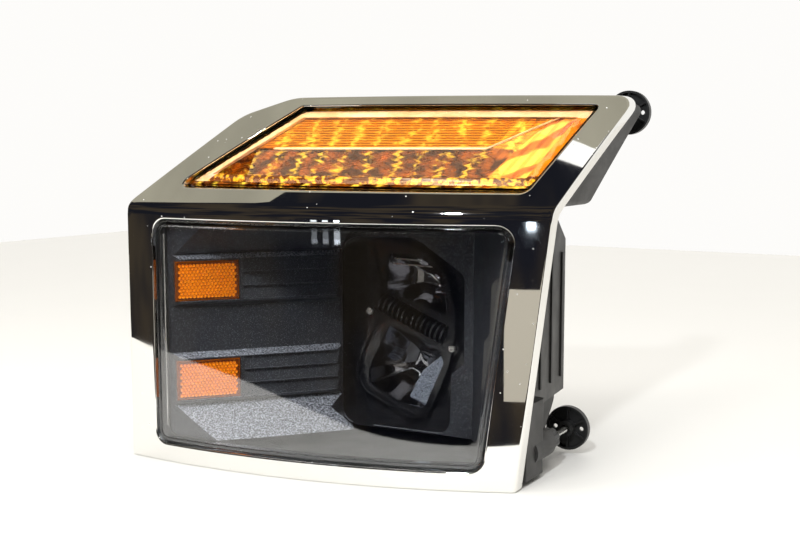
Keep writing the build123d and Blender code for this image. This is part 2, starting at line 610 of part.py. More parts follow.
def bracket_screws():
    backward = Rot(90, 0, 0) * screw(2.0, 26.0, 4.2, 3.0)
    return [Pos(x, BRACKET_Y - 0.1, z) * backward for x, z in MODULE_POSTS]


def rear_heat_sink():
    """Upright fins on the back of the bracket."""
    y0 = BRACKET_Y + BRACKET_THICK + 0.1
    body = block(6, 78, y0, y0 + 3, 92, 172)
    return body + [block(x - 0.8, x + 0.8, y0 + 2, y0 + 26, 92, 172) for x in range(7, 78, 7)]


def led_driver():
    x0, x1, y0, y1, z0, z1 = DRIVER_BOX
    can = block(*DRIVER_BOX)
    can = fillet(can.edges().filter_by(Axis.Y), 3.0)
    ribs = range(int(x0) + 8, int(x1) - 6, 7)
    return can + [block(x - 1, x + 1, y0 - 3, y0 + 1, z0 + 4, z1 - 4) for x in ribs]


# ---- rear cover, connector and vents ----

def rear_cover():
    y0 = TUB_BACK + COVER_LIFT
    ears = [Pos(x, z) * Circle(6.5) for x, z in cover_screw_spots()]
    flange = front_prism(cover_sketch(COVER_FLANGE) + ears, y0, y0 + 2.8)
    outer = extrude(Plane.XZ.offset(-y0) * cover_sketch(0), amount=-COVER_DEPTH, taper=4)
    inner_plane = Plane.XZ.offset(-y0 + 1)
    inner = extrude(inner_plane * cover_sketch(-COVER_WALL), amount=COVER_WALL - COVER_DEPTH, taper=4)
    x0, x1, z0, z1 = COVER_BOX
    grips = [
        block(x - 1.5, x + 1.5, y0 + COVER_DEPTH - 1, y0 + COVER_DEPTH + 2, z0 + 18, z1 - 18)
        for x in range(int(x0) + 24, int(x1) - 20, 12)
    ]
    holes = [rod(x, z, COVER_SCREW_HOLE, y0 - 1, y0 + 4) for x, z in cover_screw_spots()]
    return flange + outer + grips - inner - holes


def rear_cover_seal():
    return front_prism(cover_sketch(-1.0) - cover_sketch(-5.0), TUB_BACK + 0.1, TUB_BACK + COVER_LIFT - 0.1)


def rear_cover_screws():
    head_y = TUB_BACK + COVER_LIFT + 2.9
    forward = Rot(-90, 0, 0) * screw(COVER_SCREW_R, 12.0, 4.6, 3.2)
    return [Pos(x, head_y, z) * forward for x, z in cover_screw_spots()]


def pin_spots():
    return [(PLUG_X + i * PIN_PITCH, PLUG_Z + side * 2.8) for i in (-1, 0, 1) for side in (-1, 1)]


def connector_socket():
    place = Pos(PLUG_X, PLUG_Z)
    y0 = TUB_BACK + 0.1
    end, top = y0 + PLUG_LENGTH, PLUG_Z + PLUG_HEIGHT / 2
    flange = front_prism(place * RectangleRounded(PLUG_WIDTH + 10, PLUG_HEIGHT + 8, 4), y0, y0 + 3)
    shroud = front_prism(place * RectangleRounded(PLUG_WIDTH, PLUG_HEIGHT, 4), y0, end)
    mouth = front_prism(place * RectangleRounded(PLUG_WIDTH - 4, PLUG_HEIGHT - 4, 2.5), y0 + 4, end + 1)
    key = block(PLUG_X - 3, PLUG_X + 3, y0, end, top - 1, top + 3)
    inner = front_prism(place * Rectangle(PLUG_WIDTH - 8.6, PLUG_HEIGHT - 8.6), y0 - 8, y0 + 1)
    half = PIN_SIZE / 2 + 0.05
    holes = [block(x - half, x + half, y0 - 10, y0 + 6, z - half, z + half) for x, z in pin_spots()]
    return (flange + shroud - mouth) + key + inner - holes


def connector_pins():
    half, y0, y1 = PIN_SIZE / 2, TUB_BACK - 12, TUB_BACK + 18
    return [block(x - half, x + half, y0, y1, z - half, z + half) for x, z in pin_spots()]


def breather_caps():
    """Push-on caps over the two vent collars."""
    y0 = TUB_BACK + 1.0
    caps = []
    for x, z in VENTS:
        cap = rod(x, z, CAP_R, y0, y0 + 12) - rod(x, z, COLLAR_R + 0.05, y0 - 1, y0 + 8.2)
        notches = [Pos(x, y0, z) * Rot(0, 45 * i, 0) * Pos(CAP_R, 0, 0) * Box(3, 6, 2.4) for i in range(8)]
        caps.append(cap - notches)
    return caps


# ---- turn signal ----

def turn_inner_lens():
    return band(TURN_OPTIC, TURN_OPTIC + 2.5) & front_prism(offset(TURN_LENS, amount=-LENS_WALL - 0.4))


def turn_led_spots():
    radius = cone_radius(TURN_TRAY, TURN_LED_Z)
    spots = []
    for angle in TURN_LED_ANGLES:
        spots.append(Pos(on_face(angle, radius, TURN_LED_Z)) * Rot(0, 0, angle) * Rot(-FOLD_ANGLE, 0, 0))
    return spots


def turn_reflector():
    outline = offset(TURN_LENS, amount=-LENS_WALL - 1.0)
    floor = band(TURN_TRAY, TURN_TRAY + 2) & front_prism(outline)
    walls = band(RIM_DEPTH + 0.6, TURN_TRAY + 2) & front_prism(ring(outline, 0, 2.0))
    boss_room = rod(UPPER_POST["x"], UPPER_POST["z"], BOSS_R + 0.5, BOSS_START - 1, 130)
    return (floor + walls) - boss_room - [spot * Box(6.4, 12, 6.4) for spot in turn_led_spots()]


def turn_led_board():
    strip = Pos(72, TURN_LED_Z) * Rectangle(250, 18)
    outline = offset(TURN_LENS, amount=-LENS_WALL - 1.0)
    return band(TURN_BOARD, TURN_BOARD + 1.6) & front_prism(strip & outline)


def turn_leds():
    sunk = TURN_BOARD - TURN_TRAY - 0.05
    return [spot * Pos(0, sunk - 0.9, 0) * Box(5, 1.8, 5) for spot in turn_led_spots()]


# ---- adjusters ----

def fluted_nut(post):
    """Hand nut whose flutes are gripped to set the aim; its spigot turns in the housing's boss."""
    body = Cylinder(NUT_R, NUT_LENGTH)
    body = chamfer(body.edges().group_by(Axis.Z)[-1], 1.2)
    for i in range(NUT_FLUTES):
        body -= Rot(0, 0, i * 360 / NUT_FLUTES) * Pos(NUT_R + 1.4, 0, 2.5) * Cylinder(3.0, NUT_LENGTH)
    spigot = Pos(0, 0, -(NUT_LENGTH + SPIGOT_LENGTH) / 2) * Cylinder(SPIGOT_R, SPIGOT_LENGTH)
    bored = (body + spigot) - Cylinder(NUT_BORE_R, 3 * NUT_LENGTH)
    return Pos(post["x"], post["nut_y"] + NUT_LENGTH / 2, post["z"]) * Rot(-90, 0, 0) * bored


def ball_stud(post):
    tail = post["nut_y"] - post["tail"]
    shaft = rod(post["x"], post["z"], STUD_R, tail, post["ball_y"] - 3)
    shaft = chamfer(shaft.edges().group_by(Axis.Y)[0], 0.7)
    return shaft + Pos(post["x"], post["ball_y"], post["z"]) * Sphere(BALL_R)


def swivel_disc(post):
    """Mounting disc: a ribbed cup whose hub snaps over the stud's ball."""
    plate = Pos(0, 0, 3 + DISC_THICK / 2) * Cylinder(DISC_R, DISC_THICK)
    rim = Pos(0, 0, 1.2) * (Cylinder(DISC_R, 4.4) - Cylinder(DISC_R - 2.2, 4.4))
    hub = Pos(0, 0, -1.3) * Cylinder(HUB_R, 9.4)
    body = plate + rim + hub
    for i in range(DISC_RIBS):
        rib = Pos((HUB_R + DISC_R) / 2 - 1, 0, 1.4) * Box(DISC_R - HUB_R, 1.6, 3.6)
        body += Rot(0, 0, 30 + i * 360 / DISC_RIBS) * rib
    reach = 8.0
    wide = STUD_R + 0.2 + reach * tan(radians(SWING))
    mouth = Pos(0, 0, -reach / 2) * Rot(180, 0, 0) * Cone(STUD_R + 0.2, wide, reach)
    body -= Sphere(SOCKET_R) + mouth
    for side in (-1, 1):
        body -= Pos(side * DISC_HOLE_SPACING / 2, 0, 4) * Cylinder(DISC_HOLE_R, 12)
    return Pos(post["x"], post["ball_y"], post["z"]) * Rot(-90, 0, 0) * body


def save(name, part):
    """Write a node: one solid, or several separate solids of the same kind."""
    pieces = part if isinstance(part, list) else [part]
    solids = [solid for piece in pieces for solid in piece.solids()]
    export_step(solids[0] if len(solids) == 1 else Compound(children=solids), f"parts/{name}.step")


def main():
    nodes = {
        "outer_bezel": outer_bezel(),
        "main_lens": main_lens(),
        "turn_lens": turn_lens(),
        "main_lens_seal": lens_seal(MAIN_LENS),
        "turn_lens_seal": lens_seal(TURN_LENS),
        "main_housing": main_housing(),
        "turn_housing": turn_housing(),
        "saddle_screws": saddle_screws(),
        "trim_panel": trim_panel(),
        "reflex_upper": reflex(UPPER_BAR_Z),
        "reflex_lower": reflex(LOWER_BAR_Z),
        "lamp_bucket": lamp_bucket(),
        "module_frame": module_frame(),
        "low_beam_reflector": low_beam_reflector(),
        "high_beam_reflector": high_beam_reflector(),
        "heat_sink": heat_sink(),
        "low_beam_board": led_board(1),
        "high_beam_board": led_board(-1),
        "low_beam_leds": board_leds(1),
        "high_beam_leds": board_leds(-1),
        "module_screws": module_screws(),
        "module_bracket": module_bracket(),
        "bracket_screws": bracket_screws(),
        "rear_heat_sink": rear_heat_sink(),
        "led_driver": led_driver(),
        "rear_cover": rear_cover(),
        "rear_cover_seal": rear_cover_seal(),
        "rear_cover_screws": rear_cover_screws(),
        "connector_socket": connector_socket(),
        "connector_pins": connector_pins(),
        "breather_caps": breather_caps(),
        "turn_inner_lens": turn_inner_lens(),
        "turn_reflector": turn_reflector(),
        "turn_led_board": turn_led_board(),
        "turn_leds": turn_leds(),
        "lower_nut": fluted_nut(LOWER_POST),
        "lower_stud": ball_stud(LOWER_POST),
        "lower_disc": swivel_disc(LOWER_POST),
        "upper_nut": fluted_nut(UPPER_POST),
        "upper_stud": ball_stud(UPPER_POST),
        "upper_disc": swivel_disc(UPPER_POST),
        "pivot_stud": ball_stud(PIVOT_POST),
        "pivot_disc": swivel_disc(PIVOT_POST),
    }
    for name, part in nodes.items():
        save(name, part)


main()
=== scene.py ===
"""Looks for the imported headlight: materials, finely built lenses and optics, a studio and a camera.

Metres throughout, in the frame's axes: +X to the right, +Y to the rear, +Z up, and the lamp shines along -Y.
"""

import json
from math import ceil, cos, pi, radians, sin, sqrt, tan, tanh

import bmesh
import bpy
import numpy as np
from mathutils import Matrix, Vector
from mathutils.geometry import delaunay_2d_cdt


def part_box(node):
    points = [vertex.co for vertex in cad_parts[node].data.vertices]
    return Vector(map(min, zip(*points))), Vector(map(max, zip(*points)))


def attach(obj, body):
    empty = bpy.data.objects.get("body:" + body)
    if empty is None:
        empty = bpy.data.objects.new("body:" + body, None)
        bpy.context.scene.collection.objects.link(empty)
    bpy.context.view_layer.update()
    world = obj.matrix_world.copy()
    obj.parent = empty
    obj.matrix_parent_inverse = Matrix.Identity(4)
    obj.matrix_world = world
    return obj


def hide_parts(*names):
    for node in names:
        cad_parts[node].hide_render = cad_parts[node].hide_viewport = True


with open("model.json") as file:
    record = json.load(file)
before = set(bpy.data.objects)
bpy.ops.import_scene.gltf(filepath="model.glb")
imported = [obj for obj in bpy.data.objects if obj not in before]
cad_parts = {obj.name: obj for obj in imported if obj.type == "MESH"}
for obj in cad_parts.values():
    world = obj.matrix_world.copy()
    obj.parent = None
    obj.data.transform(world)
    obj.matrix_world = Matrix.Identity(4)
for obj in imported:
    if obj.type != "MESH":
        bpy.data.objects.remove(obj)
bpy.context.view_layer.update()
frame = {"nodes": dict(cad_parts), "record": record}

MM = 0.001

# Camera: where it stands, the way it looks, and its lens
CAMERA_AT = Vector((0.600, -0.971, 0.310))
CAMERA_TURN = radians(30.0)
CAMERA_DIP = radians(6.1)
LENS, SENSOR = 50.0, 36.0

# The face: a vertical cylinder that folds back into a cone
FACE_RADIUS = 0.760
FACE_X, FACE_Y = -0.132, 0.610
FOLD_Z = 0.254
FOLD_ANGLE = radians(45.0)
FOLD_RADIUS = 0.018

# Outlines seen from the front, in millimetres: corners (x, z), then the radius at each corner
BEZEL = ([(-190, 0), (202, 0), (229, 256), (257, 361.5), (-62, 361.5), (-112, 344), (-190, 258)],
         [3, 3, 60, 14, 60, 40, 18])
MAIN_OPENING = ([(-156, 18), (174, 18), (200, 242), (-156, 242)], [14, 14, 15, 16])
TURN_OPENING = ([(-142, 272.5), (201, 270.5), (229, 351), (-47, 352)], [5, 9, 3, 6])
GLITTER_FACET = [(77, 101), (78, 90), (56, 44), (33, 50.5), (50, 80), (65, 92)]
LOW_BEAM = ([(12, 204), (54, 197), (76, 184), (86, 154), (81, 143), (10, 162.5)], [4] * 6)
HIGH_BEAM = ([(14, 127), (72, 109), (79, 92), (56, 42), (24, 46), (-11, 62), (-11, 78)], [4] * 7)
LENS_GAP = 1.2

# The trim's side wall, which carries the reflex reflectors
WALL_ANGLE = radians(50.0)
WALL_START = Vector((-0.152, -0.136, 0.0))
WALL_ALONG = Vector((cos(WALL_ANGLE), sin(WALL_ANGLE), 0.0))
WALL_OUT = Vector((sin(WALL_ANGLE), -cos(WALL_ANGLE), 0.0))

# Height at which the turn signal's brown lower optic meets the lighter upper one
OPTIC_SPLIT = 0.309

MODULE_FRONT = 0.0252

# The table's front edge steps forward from right to left in an S-curve about its middle
EDGE_MIDDLE = (-0.02, -0.40)
EDGE_HALF_STEP = 0.20
EDGE_WIDTH_RIGHT, EDGE_WIDTH_LEFT = 0.20, 0.27
TABLE_REACH = 2.4
CANOPY_HEIGHT = 1.4
BOWL_DEPTH = 0.034
OPTIC_INSET = 5.2
OPTIC_BACK = 12.8


# ---- materials ----

class Nodes:
    """Short calls for building one material's node tree."""

    def __init__(self, name):
        self.material = bpy.data.materials.new(name)
        self.material.use_nodes = True
        self.tree = self.material.node_tree
        self.surface = self.tree.nodes["Principled BSDF"]
        self.output = self.tree.nodes["Material Output"]

    def set(self, **values):
        """Constant values on the Principled shader: base_color=..., roughness=..."""
        for key, value in values.items():
            socket = self.surface.inputs[key.replace("_", " ").title().replace("Ior", "IOR")]
            socket.default_value = (*value, 1.0) if isinstance(value, tuple) else value
        return self

    def add(self, kind, inputs=(), **settings):
        """A node, with inputs as (socket name or number, value or socket) pairs."""
        node = self.tree.nodes.new("ShaderNode" + kind)
        for key, value in settings.items():
            setattr(node, key, value)
        for key, value in inputs:
            if isinstance(value, bpy.types.NodeSocket):
                self.tree.links.new(value, node.inputs[key])
            else:
                node.inputs[key].default_value = value
        return node

    def position(self):
        return self.add("TexCoord").outputs["Object"]

    def axis(self, name):
        return self.add("SeparateXYZ", [(0, self.position())]).outputs[name]

    def noise(self, scale, detail=3.0, where=None):
        inputs = [("Vector", where or self.position()), ("Scale", scale), ("Detail", detail)]
        return self.add("TexNoise", inputs).outputs["Fac"]

    def dots(self, scale, size):
        """1 inside small scattered dots, 0 elsewhere; size is a share of the distance between dots."""
        inputs = [("Vector", self.position()), ("Scale", scale)]
        distance = self.add("TexVoronoi", inputs).outputs["Distance"]
        return self.ramp(distance, 1.0, 0.0, size * 0.6, size)

    def math(self, operation, a, b=0.0):
        return self.add("Math", [(0, a), (1, b)], operation=operation).outputs[0]

    def ramp(self, factor, low, high, start=0.0, end=1.0):
        """Maps a factor between start and end on to a value between low and high."""
        inputs = [("Value", factor), ("From Min", start), ("From Max", end)]
        inputs += [("To Min", low), ("To Max", high)]
        return self.add("MapRange", inputs).outputs["Result"]

    def mix(self, factor, a, b):
        """A colour between a and b."""
        node = self.add("Mix", data_type="RGBA")
        for socket, value in ((node.inputs["Factor"], factor), (node.inputs[6], a), (node.inputs[7], b)):
            if isinstance(value, bpy.types.NodeSocket):
                self.tree.links.new(value, socket)
            else:
                socket.default_value = (*value, 1.0) if isinstance(value, tuple) else value
        return node.outputs[2]

    def bump(self, height, distance, strength=1.0, before=None):
        inputs = [("Height", height), ("Distance", distance), ("Strength", strength)]
        if before:
            inputs.append(("Normal", before))
        return self.add("Bump", inputs).outputs["Normal"]

    def link(self, socket, name):
        self.tree.links.new(socket, self.surface.inputs[name])
        return self

    def lets_light_through(self, tint=(1.0, 1.0, 1.0)):
        """Shadow rays pass the glass, so that lamps light what is behind it."""
        path = self.add("LightPath")
        clear = self.add("BsdfTransparent", [("Color", (*tint, 1.0))])
        inputs = [(0, path.outputs["Is Shadow Ray"]), (1, self.surface.outputs[0]), (2, clear.outputs[0])]
        mixed = self.add("MixShader", inputs)
        self.tree.links.new(mixed.outputs[0], self.output.inputs["Surface"])
        return self


def chrome():
    """Bright plating with a faint haze of handling and a little settled dust."""
    n = Nodes("chrome_bezel")
    dust = n.dots(95.0, 0.075)
    n.link(n.mix(dust, (0.88, 0.87, 0.84), (0.95, 0.93, 0.88)), "Base Color")
    n.link(n.ramp(dust, 1.0, 0.0), "Metallic")
    haze = n.ramp(n.noise(14.0, 3.0), 0.015, 0.06, 0.38, 0.72)
    return n.link(n.math("ADD", haze, n.math("MULTIPLY", dust, 0.6)), "Roughness").material


def clear_lens():
    n = Nodes("clear_lens").set(base_color=(0.97, 0.975, 0.98), transmission_weight=1.0, ior=1.55)
    n.set(coat_weight=0.9, coat_ior=1.55)
    n.link(n.ramp(n.noise(25.0), 0.0, 0.015, 0.4, 0.7), "Roughness")
    return n.lets_light_through((0.93, 0.93, 0.93)).material


def amber_lens():
    n = Nodes("amber_lens").set(base_color=(1.0, 0.88, 0.66), transmission_weight=1.0, ior=1.50)
    n.link(n.ramp(n.noise(25.0), 0.0, 0.015, 0.4, 0.7), "Roughness")
    return n.lets_light_through((1.0, 0.92, 0.78)).material


def moulded(name, colour, roughness, grain=700.0, depth=0.06, lift=1.5):
    """Moulded plastic: grained, slightly uneven in colour and gloss."""
    n = Nodes(name)
    cloud = n.noise(18.0, 4.0)
    lighter = tuple(min(1.0, c * lift + 0.004) for c in colour)
    n.link(n.mix(cloud, colour, lighter), "Base Color")
    n.link(n.ramp(n.noise(40.0), roughness - 0.08, roughness + 0.08, 0.3, 0.7), "Roughness")
    return n.link(n.bump(n.noise(grain, 3.0), depth * MM, 0.8), "Normal").material


def trim_black():
    """Satin black, finely grained; ledges that face up are painted paler, like the photo's highlight."""
    n = Nodes("trim_black")
    speck = n.ramp(n.noise(1100.0, 2.0), 0.0, 1.0, 0.56, 0.70)
    normal = n.add("NewGeometry").outputs["Normal"]
    upward = n.ramp(n.add("SeparateXYZ", [(0, normal)]).outputs["Z"], 0.0, 1.0, 0.30, 0.60)
    upright = n.mix(speck, (0.012, 0.013, 0.016), (0.12, 0.125, 0.14))
    grain = n.ramp(n.noise(620.0, 2.0), 0.0, 1.0, 0.40, 0.66)
    ledge = n.mix(grain, (0.030, 0.032, 0.037), (0.34, 0.352, 0.39))
    n.link(n.mix(upward, upright, ledge), "Base Color")
    n.link(n.ramp(n.noise(40.0), 0.34, 0.46, 0.3, 0.7), "Roughness")
    return n.link(n.bump(n.noise(800.0, 2.0), 0.16 * MM, 0.9), "Normal").material


def metal(name, colour, roughness, grain=500.0, depth=0.02):
    n = Nodes(name).set(metallic=1.0)
    darker = tuple(c * 0.75 for c in colour)
    n.link(n.mix(n.noise(60.0, 4.0), colour, darker), "Base Color")
    n.link(n.ramp(n.noise(90.0), roughness - 0.06, roughness + 0.10, 0.3, 0.7), "Roughness")
    return n.link(n.bump(n.noise(grain, 2.0), depth * MM, 0.6), "Normal").material


def mirror(name, colour, roughness):
    n = Nodes(name).set(base_color=colour, metallic=1.0)
    n.link(n.ramp(n.noise(30.0), roughness, roughness + 0.03, 0.3, 0.7), "Roughness")
    return n.link(n.bump(n.noise(120.0, 2.0), 0.02 * MM, 0.3), "Normal").material


def glitter():
    """Fine stipple on the module's side facet."""
    n = Nodes("glitter").set(metallic=0.7)
    speck = n.ramp(n.noise(1500.0, 1.0), 0.0, 1.0, 0.42, 0.62)
    n.link(n.mix(speck, (0.12, 0.14, 0.18), (0.62, 0.68, 0.78)), "Base Color")
    n.link(n.ramp(speck, 0.25, 0.5), "Roughness")
    return n.link(n.bump(n.noise(1200.0, 1.0), 0.3 * MM, 1.0), "Normal").material


def amber_reflex(name, dark, light):
    n = Nodes(name).set(roughness=0.16, metallic=0.35, coat_weight=0.7, coat_roughness=0.04)
    n.link(n.mix(n.noise(60.0), dark, light), "Base Color")
    return n.material


def amber_optic():
    """Painted reflections and highlights standing in for the prisms: zig-zag glints on brown below, pale ribs
    above, streaks at the end.
    """
    n = Nodes("amber_optic").set(metallic=0.6)
    across, up = n.axis("X"), n.axis("Z")
    # Painted reflection: bright yellow zig-zag glints in columns, standing for the LEDs seen in the prisms,
    # over the brown below and the ribs above
    wave = n.math("PINGPONG", n.math("MULTIPLY", up, 1.0 / 0.0052), 0.5)
    drift = n.ramp(n.noise(26.0, 1.0), -0.005, 0.005, 0.35, 0.65)
    shifted = n.math("ADD", n.math("ADD", across, n.math("MULTIPLY", wave, 0.012)), drift)
    column = n.math("PINGPONG", n.math("MULTIPLY", shifted, 1.0 / 0.024), 0.5)
    flash = n.ramp(column, 1.0, 0.0, 0.03, 0.20)
    patch = n.ramp(n.noise(150.0, 3.0), 0.0, 1.0, 0.42, 0.56)
    below = n.mix(n.ramp(n.noise(80.0, 3.0), 0.0, 1.0, 0.40, 0.66), (0.060, 0.013, 0.0), (0.40, 0.105, 0.002))
    below = n.mix(n.math("MULTIPLY", flash, patch), below, (1.0, 0.76, 0.08))
    # Painted highlight and shade on the ribs: a pale and a darker amber stripe in each 2.4 mm rib
    rib = n.math("PINGPONG", n.math("MULTIPLY", up, 1.0 / 0.0024), 0.5)
    ribbed = n.mix(n.ramp(rib, 0.0, 1.0, 0.1, 0.4), (0.34, 0.115, 0.001), (0.85, 0.38, 0.006))
    above = n.mix(n.math("MULTIPLY", n.ramp(column, 1.0, 0.0, 0.05, 0.30), patch), ribbed, (1.0, 0.76, 0.10))
    # Painted highlight: bright diagonal streaks across the end facet
    slanted = n.math("ADD", n.math("MULTIPLY", up, 0.8), n.math("MULTIPLY", across, -0.6))
    streak = n.math("PINGPONG", n.math("MULTIPLY", n.math("ADD", slanted, drift), 1.0 / 0.017), 0.5)
    facet = n.mix(n.ramp(streak, 0.0, 1.0, 0.18, 0.30), (0.52, 0.13, 0.0), (1.0, 0.70, 0.10))
    split = n.math("GREATER_THAN", up, OPTIC_SPLIT)
    beyond = n.math("SUBTRACT", across, n.math("MULTIPLY", n.math("SUBTRACT", up, 0.271), 0.60))
    ending = n.math("GREATER_THAN", beyond, 0.150)
    n.link(n.mix(ending, n.mix(split, below, above), facet), "Base Color")
    return n.link(n.ramp(n.noise(60.0), 0.12, 0.26, 0.3, 0.7), "Roughness").material


def optic_rim():
    """Amber rim, painted pale on the left and top, where the real lens bevel reflects a white room."""
    n = Nodes("optic_rim").set(coat_weight=0.5)
    across, up = n.axis("X"), n.axis("Z")
    from_left = n.math("SUBTRACT", n.math("MULTIPLY", n.math("ADD", across, 0.142), 0.642),
                       n.math("MULTIPLY", n.math("SUBTRACT", up, 0.2725), 0.767))
    pale = n.math("MAXIMUM", n.math("LESS_THAN", from_left, 0.0145), n.math("GREATER_THAN", up, 0.3385))
    streak = n.noise(45.0, 4.0)
    light = n.mix(n.ramp(streak, 0.0, 1.0, 0.35, 0.65), (0.84, 0.66, 0.60), (0.62, 0.40, 0.30))
    amber = n.mix(n.ramp(streak, 0.0, 1.0, 0.35, 0.65), (0.72, 0.27, 0.004), (0.42, 0.11, 0.0))
    flecks = n.ramp(n.noise(160.0, 2.0), 0.0, 1.0, 0.48, 0.62)
    brown = n.mix(flecks, (0.10, 0.022, 0.0), (0.90, 0.50, 0.03))
    amber = n.mix(n.math("LESS_THAN", up, 0.2845), amber, brown)
    n.link(n.mix(pale, amber, light), "Base Color")
    return n.link(n.ramp(streak, 0.18, 0.34, 0.3, 0.7), "Roughness").material


def make_materials():
    return {
        "chrome_bezel": chrome(),
        "clear_lens": clear_lens(),
        "amber_lens": amber_lens(),
        "amber_optic": amber_optic(),
        "seal": moulded("seal", (0.012, 0.012, 0.012), 0.7),
        "housing_black": moulded("housing_black", (0.022, 0.021, 0.020), 0.50, 620.0, 0.12, 1.7),
        "trim_black": trim_black(),
        "amber_reflex": amber_reflex("amber_reflex", (0.95, 0.30, 0.006), (1.0, 0.37, 0.012)),
        "reflex_ground": amber_reflex("reflex_ground", (0.20, 0.040, 0.0), (0.28, 0.060, 0.0)),
        "optic_rim": optic_rim(),
        # Whitish gloss for the crease bar: a painted highlight, standing for the bright line along the lens's
        # ridge
        "crease_painted_highlight": moulded("crease_painted_highlight", (0.92, 0.84, 0.76), 0.2, 300.0, 0.002, 1.05),
        "glitter": glitter(),
        "sink_black": metal("sink_black", (0.055, 0.055, 0.058), 0.32),
        "gloss_black": moulded("gloss_black", (0.006, 0.006, 0.007), 0.14, 300.0, 0.002),
        "reflector_silver": mirror("reflector_silver", (0.30, 0.30, 0.32), 0.05),
        "aluminium": metal("aluminium", (0.33, 0.33, 0.34), 0.35),
        "board": moulded("board", (0.02, 0.10, 0.05), 0.4, 900.0, 0.01),
        "led": moulded("led", (0.85, 0.70, 0.15), 0.25, 900.0, 0.01),
        "screw_steel": metal("screw_steel", (0.62, 0.61, 0.58), 0.28),
        "bracket_steel": metal("bracket_steel", (0.5, 0.5, 0.5), 0.35),
        "connector_grey": moulded("connector_grey", (0.03, 0.03, 0.032), 0.45),
        "pin_brass": metal("pin_brass", (0.75, 0.58, 0.28), 0.25),
        "nut_black": moulded("nut_black", (0.015, 0.015, 0.015), 0.4),
        "stud_zinc": metal("stud_zinc", (0.70, 0.70, 0.68), 0.25),
        "disc_black": moulded("disc_black", (0.012, 0.012, 0.012), 0.38),
    }


def paint_nodes(materials):
    for row in frame["record"]["subparts"]:
        node = frame["nodes"][row["node"]]
        node.data.materials.clear()
        node.data.materials.append(materials[row["material_slot"]])
        for polygon in node.data.polygons:
            polygon.material_index = 0


# ---- building on the curved face ----

def face_radius(z, depth):
    """Distance of a layer of the face from the face's vertical axis, at a depth behind the skin."""
    bend = max(FOLD_RADIUS - depth, MM)
    corner = FOLD_Z - depth * tan(FOLD_ANGLE / 2)
    reach = bend * tan(FOLD_ANGLE / 2)
    radius = FACE_RADIUS - depth
    if z <= corner - reach:
        return radius
    if z >= corner + reach * cos(FOLD_ANGLE):
        return radius - (z - corner) * tan(FOLD_ANGLE)
    return radius - bend + sqrt(bend**2 - (z - corner + reach) ** 2)


def face_point(x, z, depth):
    radius = face_radius(z, depth)
    return Vector((x, FACE_Y - sqrt(radius**2 - (x - FACE_X) ** 2), z))


def outline(shape, inset=0.0, corner_steps=7, edge_step=6.0):
    """Points round a shape of rounded corners, moved inward by inset; every inset gives as many points."""
    corners, radii = [Vector(c) for c in shape[0]], shape[1]
    count = len(corners)
    along = [(corners[(i + 1) % count] - corners[i]).normalized() for i in range(count)]
    lengths = [(corners[(i + 1) % count] - corners[i]).length for i in range(count)]
    turns = [along[i - 1].angle_signed(along[i]) * -1 for i in range(count)]
    if sum(turns) < 0:
        mirrored = ([tuple(c) for c in corners[::-1]], radii[::-1])
        return outline(mirrored, inset, corner_steps, edge_step)
    arcs = []
    for i, turn in enumerate(turns):
        before = along[i - 1]
        half = tan(turn / 2)
        sharp = corners[i] + Vector((-before.y, before.x)) * inset + before * (inset * half * -1)
        side = 1.0 if turn > 0 else -1.0
        radius = max(radii[i] - side * inset, 0.05)
        start = sharp - before * (radius * abs(half))
        centre = start + Vector((-before.y, before.x)) * radius * side
        spoke = start - centre
        arc = []
        for k in range(corner_steps + 1):
            angle = turn * k / corner_steps
            arc.append(centre + Vector((spoke.x * cos(angle) - spoke.y * sin(angle),
                                        spoke.x * sin(angle) + spoke.y * cos(angle))))
        arcs.append(arc)
    points = []
    for i, arc in enumerate(arcs):
        points.extend(arc)
        steps = ceil(lengths[i] / edge_step)
        last, first = arc[-1], arcs[(i + 1) % count][0]
        points.extend(last.lerp(first, k / steps) for k in range(1, steps))
    return [p * MM for p in points]


def inside(points, loop):
    """Which of the points lie inside a closed loop."""
    x, z = points[:, 0], points[:, 1]
    result = np.zeros(len(points), bool)
    for a, b in zip(loop, loop[1:] + loop[:1]):
        crosses = (a[1] > z) != (b[1] > z)
        at = a[0] + (z - a[1]) * (b[0] - a[0]) / ((b[1] - a[1]) or 1e-12)
        result ^= crosses & (x < at)
    return result


